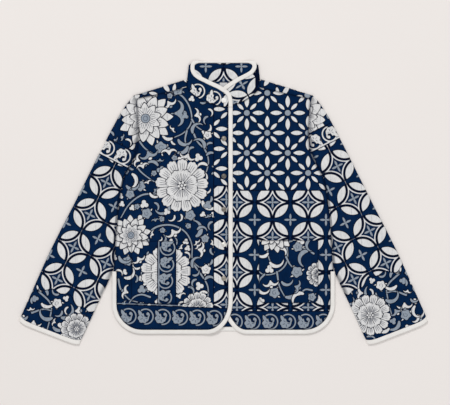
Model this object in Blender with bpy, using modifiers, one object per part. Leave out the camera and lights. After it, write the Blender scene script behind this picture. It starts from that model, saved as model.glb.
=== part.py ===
"""A quilted cotton jacket, laid flat on its back with the front closed.

Run with Blender 4.5: blender --background --python part.py
One named object for each piece that is cut and sewn. Lengths are in millimetres in the tables
and turned into metres when a mesh is made. Two numbers place a point of the pattern: across,
from the centre line towards one side, and down, from the top edge of the collar to the hems.
"""

import math

import bmesh
import bpy
import numpy as np
from mathutils import Vector
from mathutils.geometry import delaunay_2d_cdt

MM = 0.001

# The cloth
WALL = 3.0  # the quilted cloth: two cottons over thin wadding
PATCH_WALL = 2.4  # the same cloth, pressed flatter on a pocket
SEAM = 0.3  # the gap left between two pieces that are sewn together
CORNER_GAP = 0.2  # what is added to the gap where straight runs meet a curved seam
SEAM_CLEAR = 1.0  # a seam's own points start this far past the corner of another
FOLD = 3.3  # outer radius where two walls lie on each other and turn round an edge
AIR = 2.3  # how far the fronts rise off the back in the middle
AIR_START, AIR_END = 28.0, 98.0  # across: the rise starts and is full here
AIR_EDGE = 90.0  # and it is full this far inside a seam
SLEEVE_AIR = 2.6
QUILT = 0.8  # how far the wadding stands up between two rows of stitches
ROW = 24.5  # from one row of stitches to the next
EASE = 9.0  # the quilting runs out this far from a seam
BIND = 10.0  # width of the binding along the free edges
BIND_BACK = 5.0  # what shows of it along the back of the collar
PROUD = 0.4  # how much thicker the binding is than the cloth
CREASED = 0.6  # a wall's raised face is this much smaller all round

# How closely a panel is drawn
SEAM_STEP = 24.0  # between points along a long seam
EDGE_STEP = 30.0  # between points along a straight edge
BOUND_STEP = 36.0  # between points along a long bound edge
ROW_STEP = 34.0  # between points along a row of quilting
PLAIN_STEP = 50.0  # between points along a row of the plain inner face
MARGIN = 5.0  # a row's points keep this far from the outline
FINE = 6.0  # between points along a curve that is sampled again
SAME = 0.05  # nearer than this, two points of an outline are one

# The whole garment
LENGTH = 683.9  # from the collar's top edge to the lowest point of the cuffs
HALF_LENGTH = LENGTH / 2
SIDE = 267.0  # across, from the centre line to the side below the vent
VENT = 505.0  # down, where the side seam ends in a vent
HEM = 655.0  # down, the hem of the fronts
BACK_HEM = 648.0
CORNER = 72.0  # radius of the hem's outer corners
BACK_IN = 2.0  # the back's vents lie this far inside those of the fronts

# The front edges: how far each reaches past the centre line, and its rounded lower corner
RIGHT_EDGE, RIGHT_CORNER = 22.0, (62.0, 80.0)
LEFT_EDGE, LEFT_CORNER = 16.0, (70.0, 150.0)
LAP_START, LAP_END = 60.0, 14.0  # the right front rises over the left one between these
LAP_LIFT = 4.2  # how far it rises at the front edge
COLLAR_LIFT = 5.2  # and at the collar
COLLAR_AIR = 1.2  # the left half of the collar clears the label by this
COLLAR_RISES = 0.3  # the collar's lap rises over this share of a half, from its fold
COLLAR_LIFTS, COLLAR_RESTS = (0.2, 0.5), (0.95, 0.75)  # and the left half rises and comes down

# Seams, as (across, down)
NECK = ((86.5, 63), (79, 74), (62, 87), (43, 98), (20, 105), (0, 109), (-12, 110.5))
NECK_SHOULDER = ((89, 48.5), (88, 56), (87, 62.6))  # past the end of the shoulder's fold
NECK_BACK = ((0, 50), (40, 50), (70, 49), (84.5, 47.5))
NECK_STEP, BACK_NECK_STEP = 6.0, 16.0
NECK_GAP = 3.0  # a front's seam points keep this far from its binding's end
NECK_END = 111.0  # down, where the collar's binding meets the front's
SHOULDER = ((86.5, 43), (214.5, 83))  # the fold along the top of the shoulder
FRONT_SEAM = ((86.5, 63), (110, 68.5), (153, 79), (196, 88), (211.5, 91.5))
ARMHOLE = ((214.5, 83), (211.5, 91.5), (207, 113), (205.5, 147), (204.5, 180),
           (209, 222), (225, 253), (238.5, 276))
ARMHOLE_STEP = 7.0
SIDE_SEAM = ((238.5, 276), (250, 333), (256, 389), (260, 449), (263, 496), (264, 505))

# Sleeve edges, as (across, down)
SLEEVE_OUTER = ((214.5, 83), (232, 104), (255.5, 141), (293, 213), (353, 333), (414, 453),
                (468, 573), (488, 619))
SLEEVE_INNER = ((238.5, 276), (250, 333), (256, 389), (260, 449), (266, 503), (303, 585),
                (344, 675))
CHANNELS = 7  # rows of wadding round the top of a sleeve
HOLLOW = 0.1  # share of the sleeve's length over which its end takes the armhole's curve

# The collar's top edge as it lies, middle of its binding, as (across, down). It folds at the side
# along a line from the shoulder's neck point to the top edge.
COLLAR_BACK = 2.6  # down, middle of the binding along the back
COLLAR_FOLD = ((84.3, 45.6), (80.0, 9.0))
COLLAR_FOOT = (85.6, 54.0)  # the seam between the fold and the neck's curve
COLLAR_END = {"right": 11.7, "left": 5.7}  # across, past the centre line
COLLAR_EDGE_STEP = 7.0
COLLAR_LEVELS = 5
COLLAR_STATIONS = 11  # along the back, with both folds
BACK_STRAIGHT = 50.0  # across: the back's edge is straight up to here
BACK_TURN = ((50, 2.6), (62, 2.6), (70, 4.4), (74.2, 10))  # and then turns over the fold
EDGE_RISES = (44.0, 64.0)  # across: the edge's binding leaves the table between these
EDGE_WIDENS = (56.0, 72.0)  # and comes to its full width between these
COLLAR_EDGE_RIGHT = ((74.2, 10), (74.3, 20), (69.5, 31), (59, 39.5), (35.5, 51.5), (15, 61),
                     (0, 69.5), (-9, 77), (-14, 85), (-16.5, 95), (-17, 103), (-17, 110.7))
COLLAR_EDGE_LEFT = ((74.2, 10), (73.8, 17), (68, 26), (58, 33), (35.5, 44.5), (15, 57),
                    (2, 67), (-6, 75), (-9.5, 84), (-11, 94), (-11, 103), (-11, 110.7))

# Patch pockets: the middle of each, across and down, and their size
POCKET = {"right": (150.0, 507.0), "left": (156.0, 505.5)}
POCKET_WIDE, POCKET_TALL, POCKET_CORNER = 142.0, 150.0, 14.0
ON_TOP = 0.6  # a patch lies this far above the crests of the quilting under it
POCKET_ROWS = range(5, 20)  # the half rows of quilting under a pocket
FRONT_ROWS = range(-1, 22)  # and those across a front

# Snap caps: name, down, diameter and height
SNAPS = (("snap_collar", 95.0, 13.0, 3.4), ("snap_1", 186.5, 12.0, 2.4),
         ("snap_2", 276.5, 12.0, 2.4), ("snap_3", 356.0, 12.0, 2.4),
         ("snap_4", 440.0, 12.0, 2.4), ("snap_5", 521.5, 12.0, 2.4))
SNAP_X = 1.0
CAP_SHAPE = ((0.0, 1.0), (0.45, 0.94), (0.8, 0.68), (1.0, 0.22), (1.0, 0.0), (0.0, 0.0))
CAP_STEPS = 14

# The back's own points: rows across, and how they lie between the seams
BACK_ROWS = (-200.0, -100.0, 0.0, 100.0, 200.0)
BACK_STEP, BACK_MARGIN = 110.0, 25.0
BACK_TOP = 190.0  # in Y: above this the shoulders' own points take over
SHOULDER_START = 60.0  # across: nothing nearer the centre line turns over
SHOULDER_POINTS, FOLD_TURNS = 6, 5

LABEL_WIDE, LABEL_TALL, LABEL_WALL, LABEL_DOWN = 18.0, 11.0, 0.9, 57.5

# Colours as they show on the cloth, roughness, metallic
FINISHES = {
    "printed_cotton": ((0.004, 0.016, 0.062), 0.85, 0.0),
    "binding_cotton": ((0.78, 0.75, 0.70), 0.8, 0.0),
    "snap_metal": ((0.20, 0.20, 0.22), 0.35, 0.9),
    "snap_pearl": ((0.80, 0.79, 0.76), 0.25, 0.0),
    "label_tape": ((0.55, 0.55, 0.55), 0.7, 0.0),
}

# Which way across points in the model: the wearer's right is at -X
TURN = {"right": -1.0, "left": 1.0}


def clear_scene():
    for thing in list(bpy.data.objects):
        bpy.data.objects.remove(thing, do_unlink=True)


def new_collection(name):
    collection = bpy.data.collections.new(name)
    bpy.context.scene.collection.children.link(collection)
    return collection


def finish_of(name):
    """The material of that name, made once."""
    known = bpy.data.materials.get(name)
    if known:
        return known
    colour, roughness, metallic = FINISHES[name]
    material = bpy.data.materials.new(name)
    material.use_nodes = True
    shader = material.node_tree.nodes["Principled BSDF"]
    shader.inputs["Base Color"].default_value = (*colour, 1.0)
    shader.inputs["Roughness"].default_value = roughness
    shader.inputs["Metallic"].default_value = metallic
    material.diffuse_color = (*colour, 1.0)
    return material


def laid(points, side):
    """(across, down) as X and Y of the laid garment, on one side of the centre line."""
    points = np.asarray(points, float)
    return np.stack([points[:, 0] * TURN[side], HALF_LENGTH - points[:, 1]], axis=1)


def along(line):
    """The length from the start of a line to each of its points."""
    steps = np.linalg.norm(np.diff(line, axis=0), axis=1)
    return np.concatenate([[0.0], np.cumsum(steps)])


def spaced(line, count):
    """That many points at equal lengths along a line."""
    length = along(line)
    wanted = np.linspace(0.0, length[-1], count)
    return np.stack([np.interp(wanted, length, line[:, k]) for k in range(line.shape[1])], axis=1)


def smooth(points, spacing):
    """A soft curve through the points (Catmull-Rom), with points about a spacing apart."""
    knots = np.asarray(points, float)
    ends = np.vstack([2 * knots[0] - knots[1], knots, 2 * knots[-1] - knots[-2]])
    t = np.linspace(0.0, 1.0, 12, endpoint=False)[:, None]
    runs = []
    for a, b, c, d in zip(ends[:-3], ends[1:-2], ends[2:-1], ends[3:]):
        runs.append(0.5 * (2 * b + (c - a) * t + (2 * a - 5 * b + 4 * c - d) * t**2
                           + (3 * b - a - 3 * c + d) * t**3))
    line = np.vstack(runs + [knots[-1:]])
    return spaced(line, max(2, round(along(line)[-1] / spacing) + 1))


def straight(points, spacing):
    """Straight runs between the points, which all stay, with points between them."""
    runs = []
    for a, b in zip(points[:-1], points[1:]):
        count = max(1, round(math.dist(a, b) / spacing))
        runs.append(np.linspace(a, b, count, endpoint=False))
    return np.vstack(runs + [np.asarray(points[-1:], float)])


def arc(middle, radii, start, end, count):
    """Part of an ellipse about a middle, in (across, down); angles in degrees."""
    turn = np.radians(np.linspace(start, end, count))
    return np.stack([middle[0] + radii[0] * np.cos(turn),
                     middle[1] + radii[1] * np.sin(turn)], axis=1)


def joined(*runs):
    """Runs of points as one line, without the points that repeat."""
    line = np.vstack(runs)
    keep = np.ones(len(line), bool)
    keep[1:] = np.linalg.norm(np.diff(line, axis=0), axis=1) > SAME
    return line[keep]


def moved(line, distance):
    """An open line moved to its left by a distance, its corners kept."""
    run = np.diff(line, axis=0)
    run = run / np.linalg.norm(run, axis=1, keepdims=True)
    before = np.vstack([run[:1], run])
    after = np.vstack([run, run[-1:]])
    middle = before + after
    middle = middle / np.linalg.norm(middle, axis=1, keepdims=True)
    reach = 1.0 / np.clip((middle * after).sum(axis=1, keepdims=True), 0.5, 1.0)
    left = np.stack([-middle[:, 1], middle[:, 0]], axis=1)
    distance = np.broadcast_to(np.asarray(distance, float), (len(line),))
    return line + left * reach * distance[:, None]


def shifted(outline, distance):
    """A closed outline that runs anticlockwise, moved inwards by a distance."""
    before = outline - np.roll(outline, 1, axis=0)
    after = np.roll(outline, -1, axis=0) - outline
    before = before / np.linalg.norm(before, axis=1, keepdims=True)
    after = after / np.linalg.norm(after, axis=1, keepdims=True)
    left_before = np.stack([-before[:, 1], before[:, 0]], axis=1)
    left_after = np.stack([-after[:, 1], after[:, 0]], axis=1)
    middle = left_before + left_after
    middle = middle / np.linalg.norm(middle, axis=1, keepdims=True)
    reach = 1.0 / np.clip((middle * left_after).sum(axis=1, keepdims=True), 0.5, 1.0)
    return outline + middle * reach * distance


def anticlockwise(outline):
    x, y = outline[:, 0], outline[:, 1]
    area = (x * np.roll(y, -1) - np.roll(x, -1) * y).sum()
    return outline if area > 0 else outline[::-1]


def distance_to(points, outline):
    """How far each point is from the nearest edge of a closed outline."""
    start, run = outline, np.roll(outline, -1, axis=0) - outline
    offset = points[:, None, :] - start[None]
    share = np.clip((offset * run[None]).sum(-1) / (run**2).sum(-1)[None], 0.0, 1.0)
    return np.linalg.norm(offset - share[..., None] * run[None], axis=-1).min(axis=1)


def inside(points, outline):
    """Which points are inside a closed outline, by counting crossings."""
    x, y = points[:, :1], points[:, 1:]
    ax, ay = outline[None, :, 0], outline[None, :, 1]
    bx, by = np.roll(ax, -1, axis=1), np.roll(ay, -1, axis=1)
    rise = np.where(by == ay, 1e-9, by - ay)
    crosses = ((ay > y) != (by > y)) & (x < ax + (bx - ax) * (y - ay) / rise)
    return crosses.sum(axis=1) % 2 == 1


def ramp(value):
    """A smooth step from 0 to 1."""
    value = np.clip(value, 0.0, 1.0)
    return value * value * (3.0 - 2.0 * value)


def between(value, ends):
    """A smooth step from 0 at the first end to 1 at the second."""
    return ramp((value - ends[0]) / (ends[1] - ends[0]))


def new_object(name, points, faces, finish, collection):
    """A mesh object from points in millimetres, its faces turned outwards."""
    mesh = bpy.data.meshes.new(name)
    mesh.from_pydata([tuple(p) for p in np.asarray(points) * MM], [], faces)
    shape = bmesh.new()
    shape.from_mesh(mesh)
    bmesh.ops.triangulate(shape, faces=shape.faces[:])
    bmesh.ops.recalc_face_normals(shape, faces=shape.faces[:])
    if shape.calc_volume(signed=True) < 0:
        bmesh.ops.reverse_faces(shape, faces=shape.faces[:])
    shape.to_mesh(mesh)
    shape.free()
    mesh.materials.append(finish_of(finish))
    mesh.shade_smooth()
    mesh.set_sharp_from_angle(angle=math.radians(35))
    thing = bpy.data.objects.new(name, mesh)
    collection.objects.link(thing)
    return thing


def net_of(outline, points, links):
    """Triangles over an outline and the points in it; the outline's points come first."""
    corners = [Vector(p) for p in np.vstack([outline, points])]
    links = [(a + len(outline), b + len(outline)) for a, b in links]
    found = delaunay_2d_cdt(corners, links, [list(range(len(outline)))], 1, 1e-5)
    first = [origins[0] for origins in found[3]]
    if len(set(first)) != len(first) or len(first) != len(corners):
        raise ValueError("two points of a panel lie on each other")
    return [tuple(first[k] for k in face) for face in found[2]]


def rows_in(outline, rows, spacing, margin=MARGIN):
    """Points on upright lines inside an outline, with the links along each line."""
    low, high = outline[:, 1].min(), outline[:, 1].max()
    steps = np.arange(math.floor(low / spacing), math.ceil(high / spacing) + 1) * spacing
    points, links = [], []
    for row in rows:
        line = np.stack([np.full(len(steps), row), steps], axis=1)
        keep = inside(line, outline) & (distance_to(line, outline) > margin)
        previous = None
        for number, (point, kept) in enumerate(zip(line, keep)):
            if kept:
                if previous == number - 1:
                    links.append((len(points) - 1, len(points)))
                points.append(point)
                previous = number
    return np.array(points).reshape(-1, 2), links


def wall(name, outline, plain, raised, place_plain, place_raised, finish, collection,
         eased=CREASED):
    """A cloth wall: a plain face, a raised face a little smaller, and a rim between them.

    plain and raised are (points, links) inside the outline. The two place functions turn flat
    points into points in space.
    """
    outline = anticlockwise(outline)
    upper = shifted(outline, eased)
    low_net = net_of(outline, *plain)
    high_net = net_of(upper, *raised)
    low = place_plain(np.vstack([outline, plain[0]]))
    high = place_raised(np.vstack([upper, raised[0]]))
    start, count = len(low), len(outline)
    faces = low_net + [tuple(k + start for k in face) for face in high_net]
    for k in range(count):
        following = (k + 1) % count
        faces.append((k, following, following + start, k + start))
    return new_object(name, np.vstack([low, high]), faces, finish, collection)


def strip(name, outer, inner, finish, collection):
    """A closed wall between two grids of points, each stations x across x 3."""
    rows, columns = outer.shape[:2]
    size = rows * columns
    faces = []
    for r in range(rows - 1):
        for c in range(columns - 1):
            k = r * columns + c
            quad = (k, k + 1, k + columns + 1, k + columns)
            faces.append(quad)
            faces.append(tuple(i + size for i in reversed(quad)))
    round_it = ([c for c in range(columns)]
                + [r * columns + columns - 1 for r in range(1, rows)]
                + [(rows - 1) * columns + c for c in range(columns - 2, -1, -1)]
                + [r * columns for r in range(rows - 2, 0, -1)])
    for a, b in zip(round_it, round_it[1:] + round_it[:1]):
        faces.append((b, a, a + size, b + size))
    points = np.vstack([outer.reshape(-1, 3), inner.reshape(-1, 3)])
    return new_object(name, points, faces, finish, collection)


def bar(name, line, base, wide, finish, collection, thick=WALL + PROUD, eased=1.2):
    """A binding: a strip folded over an edge, carried along the line of that edge.

    The cloth is on the left of the line, and base is the height of the strip's underside.
    """
    wide = np.broadcast_to(np.asarray(wide, float), (len(line),))
    base = np.broadcast_to(np.asarray(base, float), (len(line),))
    # in from the fold, as a share of the width and millimetres, and up, as a share of the thickness
    section = ((1.0, 0.0, 0.0), (1.0, 0.0, 1.0), (0.0, eased, 1.0), (0.0, 0.0, 0.6),
               (0.0, 0.0, 0.4), (0.0, eased, 0.0))
    grid = np.stack([np.column_stack([moved(line, share * wide + inward), base + up * thick])
                     for share, inward, up in section], axis=1)
    count, last = len(section), (len(line) - 1) * len(section)
    faces = [tuple(range(count)), tuple(last + c for c in reversed(range(count)))]
    for r in range(len(line) - 1):
        for c in range(count):
            k, n = r * count + c, r * count + (c + 1) % count
            faces.append((k, n, n + count, k + count))
    return new_object(name, grid.reshape(-1, 3), faces, finish, collection)


# The fronts

def front_edge(side):
    """The bound edge of a front as it lies, its cloth on the left: front edge, hem and vent."""
    past, (a, b) = (RIGHT_EDGE, RIGHT_CORNER) if side == "right" else (LEFT_EDGE, LEFT_CORNER)
    line = joined(
        straight([(-past, NECK_END), (-past, HEM - b)], BOUND_STEP),
        arc((a - past, HEM - b), (a, b), 180, 90, 9),
        straight([(a - past, HEM), (SIDE - CORNER, HEM)], BOUND_STEP),
        arc((SIDE - CORNER, HEM - CORNER), (CORNER, CORNER), 90, 0, 8),
        straight([(SIDE, HEM - CORNER), (SIDE, VENT)], EDGE_STEP),
    )
    line = laid(line, side)
    return line if side == "left" else line[::-1]


def front_outline(side):
    """The cut of a front where it shows, as it lies, inside its binding."""
    bound = moved(front_edge(side), BIND + SEAM / 2)
    if side == "right":
        bound = bound[::-1]
    neck = laid(smooth(NECK, NECK_STEP), side)
    neck = neck[(neck[:, 0] - bound[0, 0]) * TURN[side] > NECK_GAP]
    seam_end = laid([(SIDE_SEAM[-1][0], VENT - SEAM)], side)
    outline = joined(
        bound,
        seam_end,
        laid(smooth(SIDE_SEAM, SEAM_STEP), side)[::-1][1:],
        laid(smooth(ARMHOLE, ARMHOLE_STEP), side)[::-1],
    )
    below_seam = laid(FRONT_SEAM, side)[-1, 1] - BACK_IN
    outline = outline[outline[:, 1] < below_seam]
    outline = joined(outline, laid(straight(FRONT_SEAM, EDGE_STEP), side)[::-1], neck[1:])
    return shifted(anticlockwise(outline), SEAM / 2)


def lap(points, lift=LAP_LIFT):
    """How far the right front, or its half of the collar, is lifted over the left one."""
    return lift * between(points[:, 0], (-LAP_START, -LAP_END))


def front_under(points, side, outline):
    """Height of a front's plain inner face."""
    off_seam = ramp(distance_to(points, outline) / AIR_EDGE)
    off_middle = between(np.abs(points[:, 0]), (AIR_START, AIR_END))
    height = SEAM + WALL + AIR * off_seam * off_middle
    return height + (lap(points) if side == "right" else 0.0)


def quilting(points, outline):
    """How far the wadding stands up: nothing on a row of stitches, most between two rows."""
    share = np.abs((points[:, 0] / ROW - 0.5) % 1.0 - 0.5) * 2.0
    share = np.where(np.abs(points[:, 0]) < ROW / 2, 1.0, share)  # flat under the snaps
    return QUILT * (1.0 - share) * ramp(distance_to(points, outline) / EASE)


def make_front(side, collection):
    outline = front_outline(side)
    rows = np.array(FRONT_ROWS) * ROW / 2 * TURN[side]
    raised = rows_in(outline, rows, ROW_STEP)
    plain = rows_in(outline, rows[2::4], PLAIN_STEP)

    def low(points):
        return np.column_stack([points, front_under(points, side, outline)])

    def high(points):
        top = front_under(points, side, outline) + WALL + quilting(points, outline)
        return np.column_stack([points, top])

    return wall(f"front_{side}", outline, plain, raised, low, high, "printed_cotton", collection)


def make_front_binding(side, collection):
    line = front_edge(side)
    base = SEAM + WALL + (lap(line) if side == "right" else 0.0)
    return bar(f"binding_front_{side}", line, base, BIND, "binding_cotton", collection)


def make_pocket(side, collection):
    across, down = POCKET[side]
    wide, tall, r = POCKET_WIDE / 2, POCKET_TALL / 2, POCKET_CORNER
    front = front_outline(side)
    outline = joined(
        straight([(across - wide, down - tall), (across + wide, down - tall),
                  (across + wide, down + tall - r)], EDGE_STEP),
        arc((across + wide - r, down + tall - r), (r, r), 0, 90, 4),
        arc((across - wide + r, down + tall - r), (r, r), 90, 180, 4),
        straight([(across - wide, down + tall - r), (across - wide, down - tall)],
                 EDGE_STEP)[:-1],
    )
    outline = anticlockwise(laid(outline, side))
    rows = np.array(POCKET_ROWS) * ROW / 2 * TURN[side]
    rise = WALL + QUILT + ON_TOP

    def low(points):
        return np.column_stack([points, front_under(points, side, front) + rise])

    def high(points):
        top = front_under(points, side, front) + rise + PATCH_WALL
        return np.column_stack([points, top + quilting(points, outline)])

    return wall(f"pocket_{side}", outline, rows_in(outline, rows[::2], ROW_STEP),
                rows_in(outline, rows, ROW_STEP), low, high, "printed_cotton", collection)


# The back, which turns over the shoulders to a seam in front of them

ROLL = math.pi * (FOLD - WALL / 2)  # length of the cloth's middle round the shoulder's fold


def shoulder_line(side):
    """Where the back leaves the table to turn over: a point, and the outward direction."""
    start, end = laid(SHOULDER, side)
    run = (end - start) / np.linalg.norm(end - start)
    out = np.array([-run[1], run[0]])
    out = out if out[1] > 0 else -out
    return start - out * FOLD, out


def unfolded(points, side):
    """Points of the strip in front of the shoulder, turned back into the flat back's plane."""
    start, out = shoulder_line(side)
    inward = -((points - start) @ out)
    return points + out * (2 * inward + ROLL)[:, None]


def back_edge():
    """The bound edge of the back as it lies, its cloth on the left."""
    out, r = SIDE - BACK_IN, CORNER
    half = joined(
        straight([(0, BACK_HEM), (out - r, BACK_HEM)], 2 * EDGE_STEP),
        arc((out - r, BACK_HEM - r), (r, r), 90, 0, 8),
        straight([(out, BACK_HEM - r), (out, VENT)], 2 * EDGE_STEP),
    )
    return joined(laid(half, "right")[::-1], laid(half, "left"))


def back_half_outline(side):
    """Half of the back's flat cut above the vents: neck, shoulder strip, armhole and side."""
    start, out = shoulder_line(side)
    neck = laid(smooth(NECK_BACK, BACK_NECK_STEP), side)
    strip_neck = laid(NECK_SHOULDER, side)
    strip_seam = laid(straight(FRONT_SEAM, SEAM_STEP), side)
    armhole = laid(smooth(ARMHOLE, ARMHOLE_STEP), side)
    near = armhole[(armhole - start) @ out < -SEAM_CLEAR]
    neck_foot = strip_neck[0] - out * ((strip_neck[0] - start) @ out)
    tip_foot = armhole[0] - out * ((armhole[0] - start) @ out)
    turns = np.linspace(0.0, ROLL, FOLD_TURNS)[:, None]
    return joined(
        neck,
        neck_foot + out * turns,
        unfolded(strip_neck, side),
        unfolded(strip_seam[1:], side),
        (tip_foot + out * turns)[::-1],
        near,
        laid(smooth(SIDE_SEAM, SEAM_STEP), side)[1:-1],
        laid([(SIDE_SEAM[-1][0], VENT - SEAM)], side),
    )


def turned_over(points, up):
    """Flat points of the back in space: beyond a shoulder's line they turn over on top.

    up is the height in the wall, 0 on the outer face and WALL on the inner one.
    """
    height = np.full(len(points), float(up))
    place = points.copy()
    for side in TURN:
        start, out = shoulder_line(side)
        beyond = (points - start) @ out
        on_side = (points[:, 0] * TURN[side] > SHOULDER_START) & (beyond > 0.0)
        angle = np.clip(beyond / ROLL, 0.0, 1.0) * math.pi
        radius = FOLD - up
        shift = -beyond + radius * np.sin(angle) - np.clip(beyond - ROLL, 0.0, None)
        place[on_side] += (out * shift[:, None])[on_side]
        height[on_side] = (FOLD - radius * np.cos(angle))[on_side]
    return np.column_stack([place, height])


def make_back(collection):
    """One cut of cloth over both shoulders, flat on the table by its outer face."""
    bound = moved(back_edge(), BIND + SEAM / 2)
    outline = joined(back_half_outline("right"), bound, back_half_outline("left")[::-1][:-1])
    outline = shifted(anticlockwise(outline), SEAM / 2)
    body = rows_in(outline, BACK_ROWS, BACK_STEP, BACK_MARGIN)[0]
    points = [body[body[:, 1] < BACK_TOP]]
    for side in TURN:
        out = shoulder_line(side)[1]
        run = np.linspace(*laid(SHOULDER, side), SHOULDER_POINTS + 2)[1:-1] - out * FOLD
        points += [run + out * turn for turn in np.linspace(0.0, ROLL, FOLD_TURNS)]
    flat = (np.vstack(points), [])
    return wall("back", outline, flat, flat, lambda p: turned_over(p, 0.0),
                lambda p: turned_over(p, WALL), "printed_cotton", collection, eased=0.0)


def make_back_binding(collection):
    return bar("binding_back", back_edge(), 0.0, BIND, "binding_cotton", collection, thick=WALL)


# The sleeves

# Shares of the sleeve's length, close together where its end takes the armhole's curve
STATIONS = (0.0, 0.015, 0.035, 0.06, 0.1, 0.15, 0.21, 0.27, 0.33, 0.39, 0.45, 0.51, 0.57, 0.63,
            0.69, 0.75, 0.81, 0.87, 0.93, 0.97, 1.0)


def at_shares(line, shares):
    """Points of a line at shares of its length."""
    length = along(line)
    wanted = np.array(shares) * length[-1]
    return np.stack([np.interp(wanted, length, line[:, k]) for k in (0, 1)], axis=1)


def outwards(line, way):
    """The unit vector square to an open line at each point, to its left times way."""
    out = moved(line, way) - line
    return out / np.linalg.norm(out, axis=1, keepdims=True)


def sleeve_plan(side, columns=2 * CHANNELS + 1):
    """The sleeve's flat faces in plan, and which way each fold turns.

    The grid runs from armhole to cuff and from the outer fold to the inner one. A fold takes up
    its own radius, so the flat faces end that far inside the sleeve's edges.
    """
    way = TURN[side]
    inset = FOLD + 2 * SEAM
    outer = moved(at_shares(laid(smooth(SLEEVE_OUTER, FINE), side), STATIONS), -way * inset)
    inner = moved(at_shares(laid(smooth(SLEEVE_INNER, FINE), side), STATIONS), way * inset)
    seam = moved(laid(smooth(ARMHOLE, FINE / 2), side), way * SEAM)
    length = along(seam)
    kept = np.linspace(inset, length[-1] - inset, columns)
    armhole = np.stack([np.interp(kept, length, seam[:, k]) for k in (0, 1)], axis=1)
    outer[0], inner[0] = armhole[0], armhole[-1]
    cuff = np.linspace(outer[-1], inner[-1], columns)
    share = np.linspace(0.0, 1.0, columns)[None, :, None]
    grid = (1 - share) * outer[:, None] + share * inner[:, None]
    hollow = armhole[None] - grid[:1]
    near_end = np.clip(1 - np.array(STATIONS) / HOLLOW, 0.0, 1.0)
    grid = grid + hollow * near_end[:, None, None] ** 2
    grid[-1] = cuff
    out, back = outwards(outer, way), outwards(inner, -way)
    for turn, run in ((out, armhole[0] - armhole[1]), (back, armhole[-1] - armhole[-2])):
        turn[0] = run / np.linalg.norm(run)
    return grid, out, back


def sleeve_rings(plan, up, extra):
    """Closed rings round a sleeve at a height in its wall: 0 outside, WALL inside."""
    grid, out, back = plan
    stations, columns = grid.shape[:2]
    t = np.array(STATIONS if stations == len(STATIONS) else (1.0, 1.0))[:, None]
    s = np.linspace(0.0, 1.0, columns)[None]
    puff = SLEEVE_AIR * np.sin(math.pi * s) ** 0.8 * ramp(t / 0.2) * ramp((1 - t) / 0.15)
    raised = np.where(np.arange(columns)[None] % 2 == 1, extra, 0.0)
    raised = raised * ramp(t / 0.04) * ramp((1 - t) / 0.04)
    radius = FOLD - up
    top = np.dstack([grid, (FOLD + radius + puff + raised)[..., None]])
    turn = np.radians([45.0, 90.0, 135.0])

    def fold(edge, way):
        reach = radius * np.sin(turn)[None, :, None] * way[:, None]
        height = FOLD + radius * np.cos(turn)
        return np.dstack([edge[:, None] + reach, np.tile(height, (stations, 1))[..., None]])

    under = grid[:, ::-1][:, ::2]
    bottom = np.dstack([under, np.full(under.shape[:2], FOLD - radius)[..., None]])
    return np.concatenate([top, fold(grid[:, -1], back), bottom,
                           fold(grid[:, 0], out)[:, ::-1]], axis=1)


def ring_wall(name, outer, inner, finish, collection):
    """A tube's wall between two sets of rings, open at both ends."""
    rows, columns = outer.shape[:2]
    size = rows * columns
    faces = []
    for r in range(rows - 1):
        for c in range(columns):
            k, n = r * columns + c, r * columns + (c + 1) % columns
            faces.append((k, n, n + columns, k + columns))
            faces.append((k + columns + size, n + columns + size, n + size, k + size))
    for c in range(columns):
        n = (c + 1) % columns
        last = (rows - 1) * columns
        faces.append((n, c, c + size, n + size))
        faces.append((last + c, last + n, last + n + size, last + c + size))
    points = np.vstack([outer.reshape(-1, 3), inner.reshape(-1, 3)])
    return new_object(name, points, faces, finish, collection)


def make_sleeve(side, collection):
    plan = sleeve_plan(side)
    return ring_wall(f"sleeve_{side}", sleeve_rings(plan, 0.0, QUILT),
                     sleeve_rings(plan, WALL, 0.0), "printed_cotton", collection)


def make_cuff_binding(side, collection):
    """A band round the sleeve's end, as wide as the other bindings."""
    grid, out, back = sleeve_plan(side, columns=9)
    across = grid[-1, -1] - grid[-1, 0]
    run = np.array([-across[1], across[0]]) * TURN[side] / np.linalg.norm(across)
    start = grid[-1] + run * SEAM
    plan = (np.stack([start, start + run * BIND]), np.stack([out[-1]] * 2), np.stack([back[-1]] * 2))
    outer, inner = sleeve_rings(plan, 0.0, 0.0), sleeve_rings(plan, WALL, 0.0)
    outer[..., 2] += np.where(outer[..., 2] > FOLD, PROUD, 0.0)
    return ring_wall(f"binding_cuff_{side}", outer, inner, "binding_cotton", collection)


# The collar

def collar_height(points, side, share):
    """Height of a front half's inner face: share runs from 0 at the fold to 1 at its end."""
    height = FOLD + FOLD - WALL
    if side == "right":
        return height + lap(points, COLLAR_LIFT) * ramp(share / COLLAR_RISES)
    return height + COLLAR_AIR * between(share, COLLAR_LIFTS) * between(share, COLLAR_RESTS)


def collar_edge(side):
    """Middle of the binding on a front half as it lies, from the fold to its end."""
    edge = COLLAR_EDGE_RIGHT if side == "right" else COLLAR_EDGE_LEFT
    return laid(smooth(edge, COLLAR_EDGE_STEP), side)


def collar_half(side, levels):
    """Plan and height of a front half: a grid from the fold to its end, seam to top edge."""
    way = -TURN[side]
    end = COLLAR_END[side]
    seam = smooth(NECK, NECK_STEP)
    seam = seam[seam[:, 0] > 2 * SEAM_CLEAR - end]
    seam = laid(np.vstack([[COLLAR_FOLD[0]], [COLLAR_FOOT], seam, [(-end, NECK[-1][1])]]), side)
    seam[2:] = moved(seam, way * SEAM / 2)[2:]
    top = moved(collar_edge(side), -way * (BIND / 2 + 2 * SEAM))
    top = np.vstack([laid([COLLAR_FOLD[1]], side), spaced(top, len(seam) - 1)])
    v = np.linspace(0.0, 1.0, levels)[None, :, None]
    plan = (1 - v) * seam[:, None] + v * top[:, None]
    share = np.repeat(np.linspace(0.0, 1.0, len(seam)), levels)
    return plan, collar_height(plan.reshape(-1, 2), side, share).reshape(plan.shape[:2])


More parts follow.
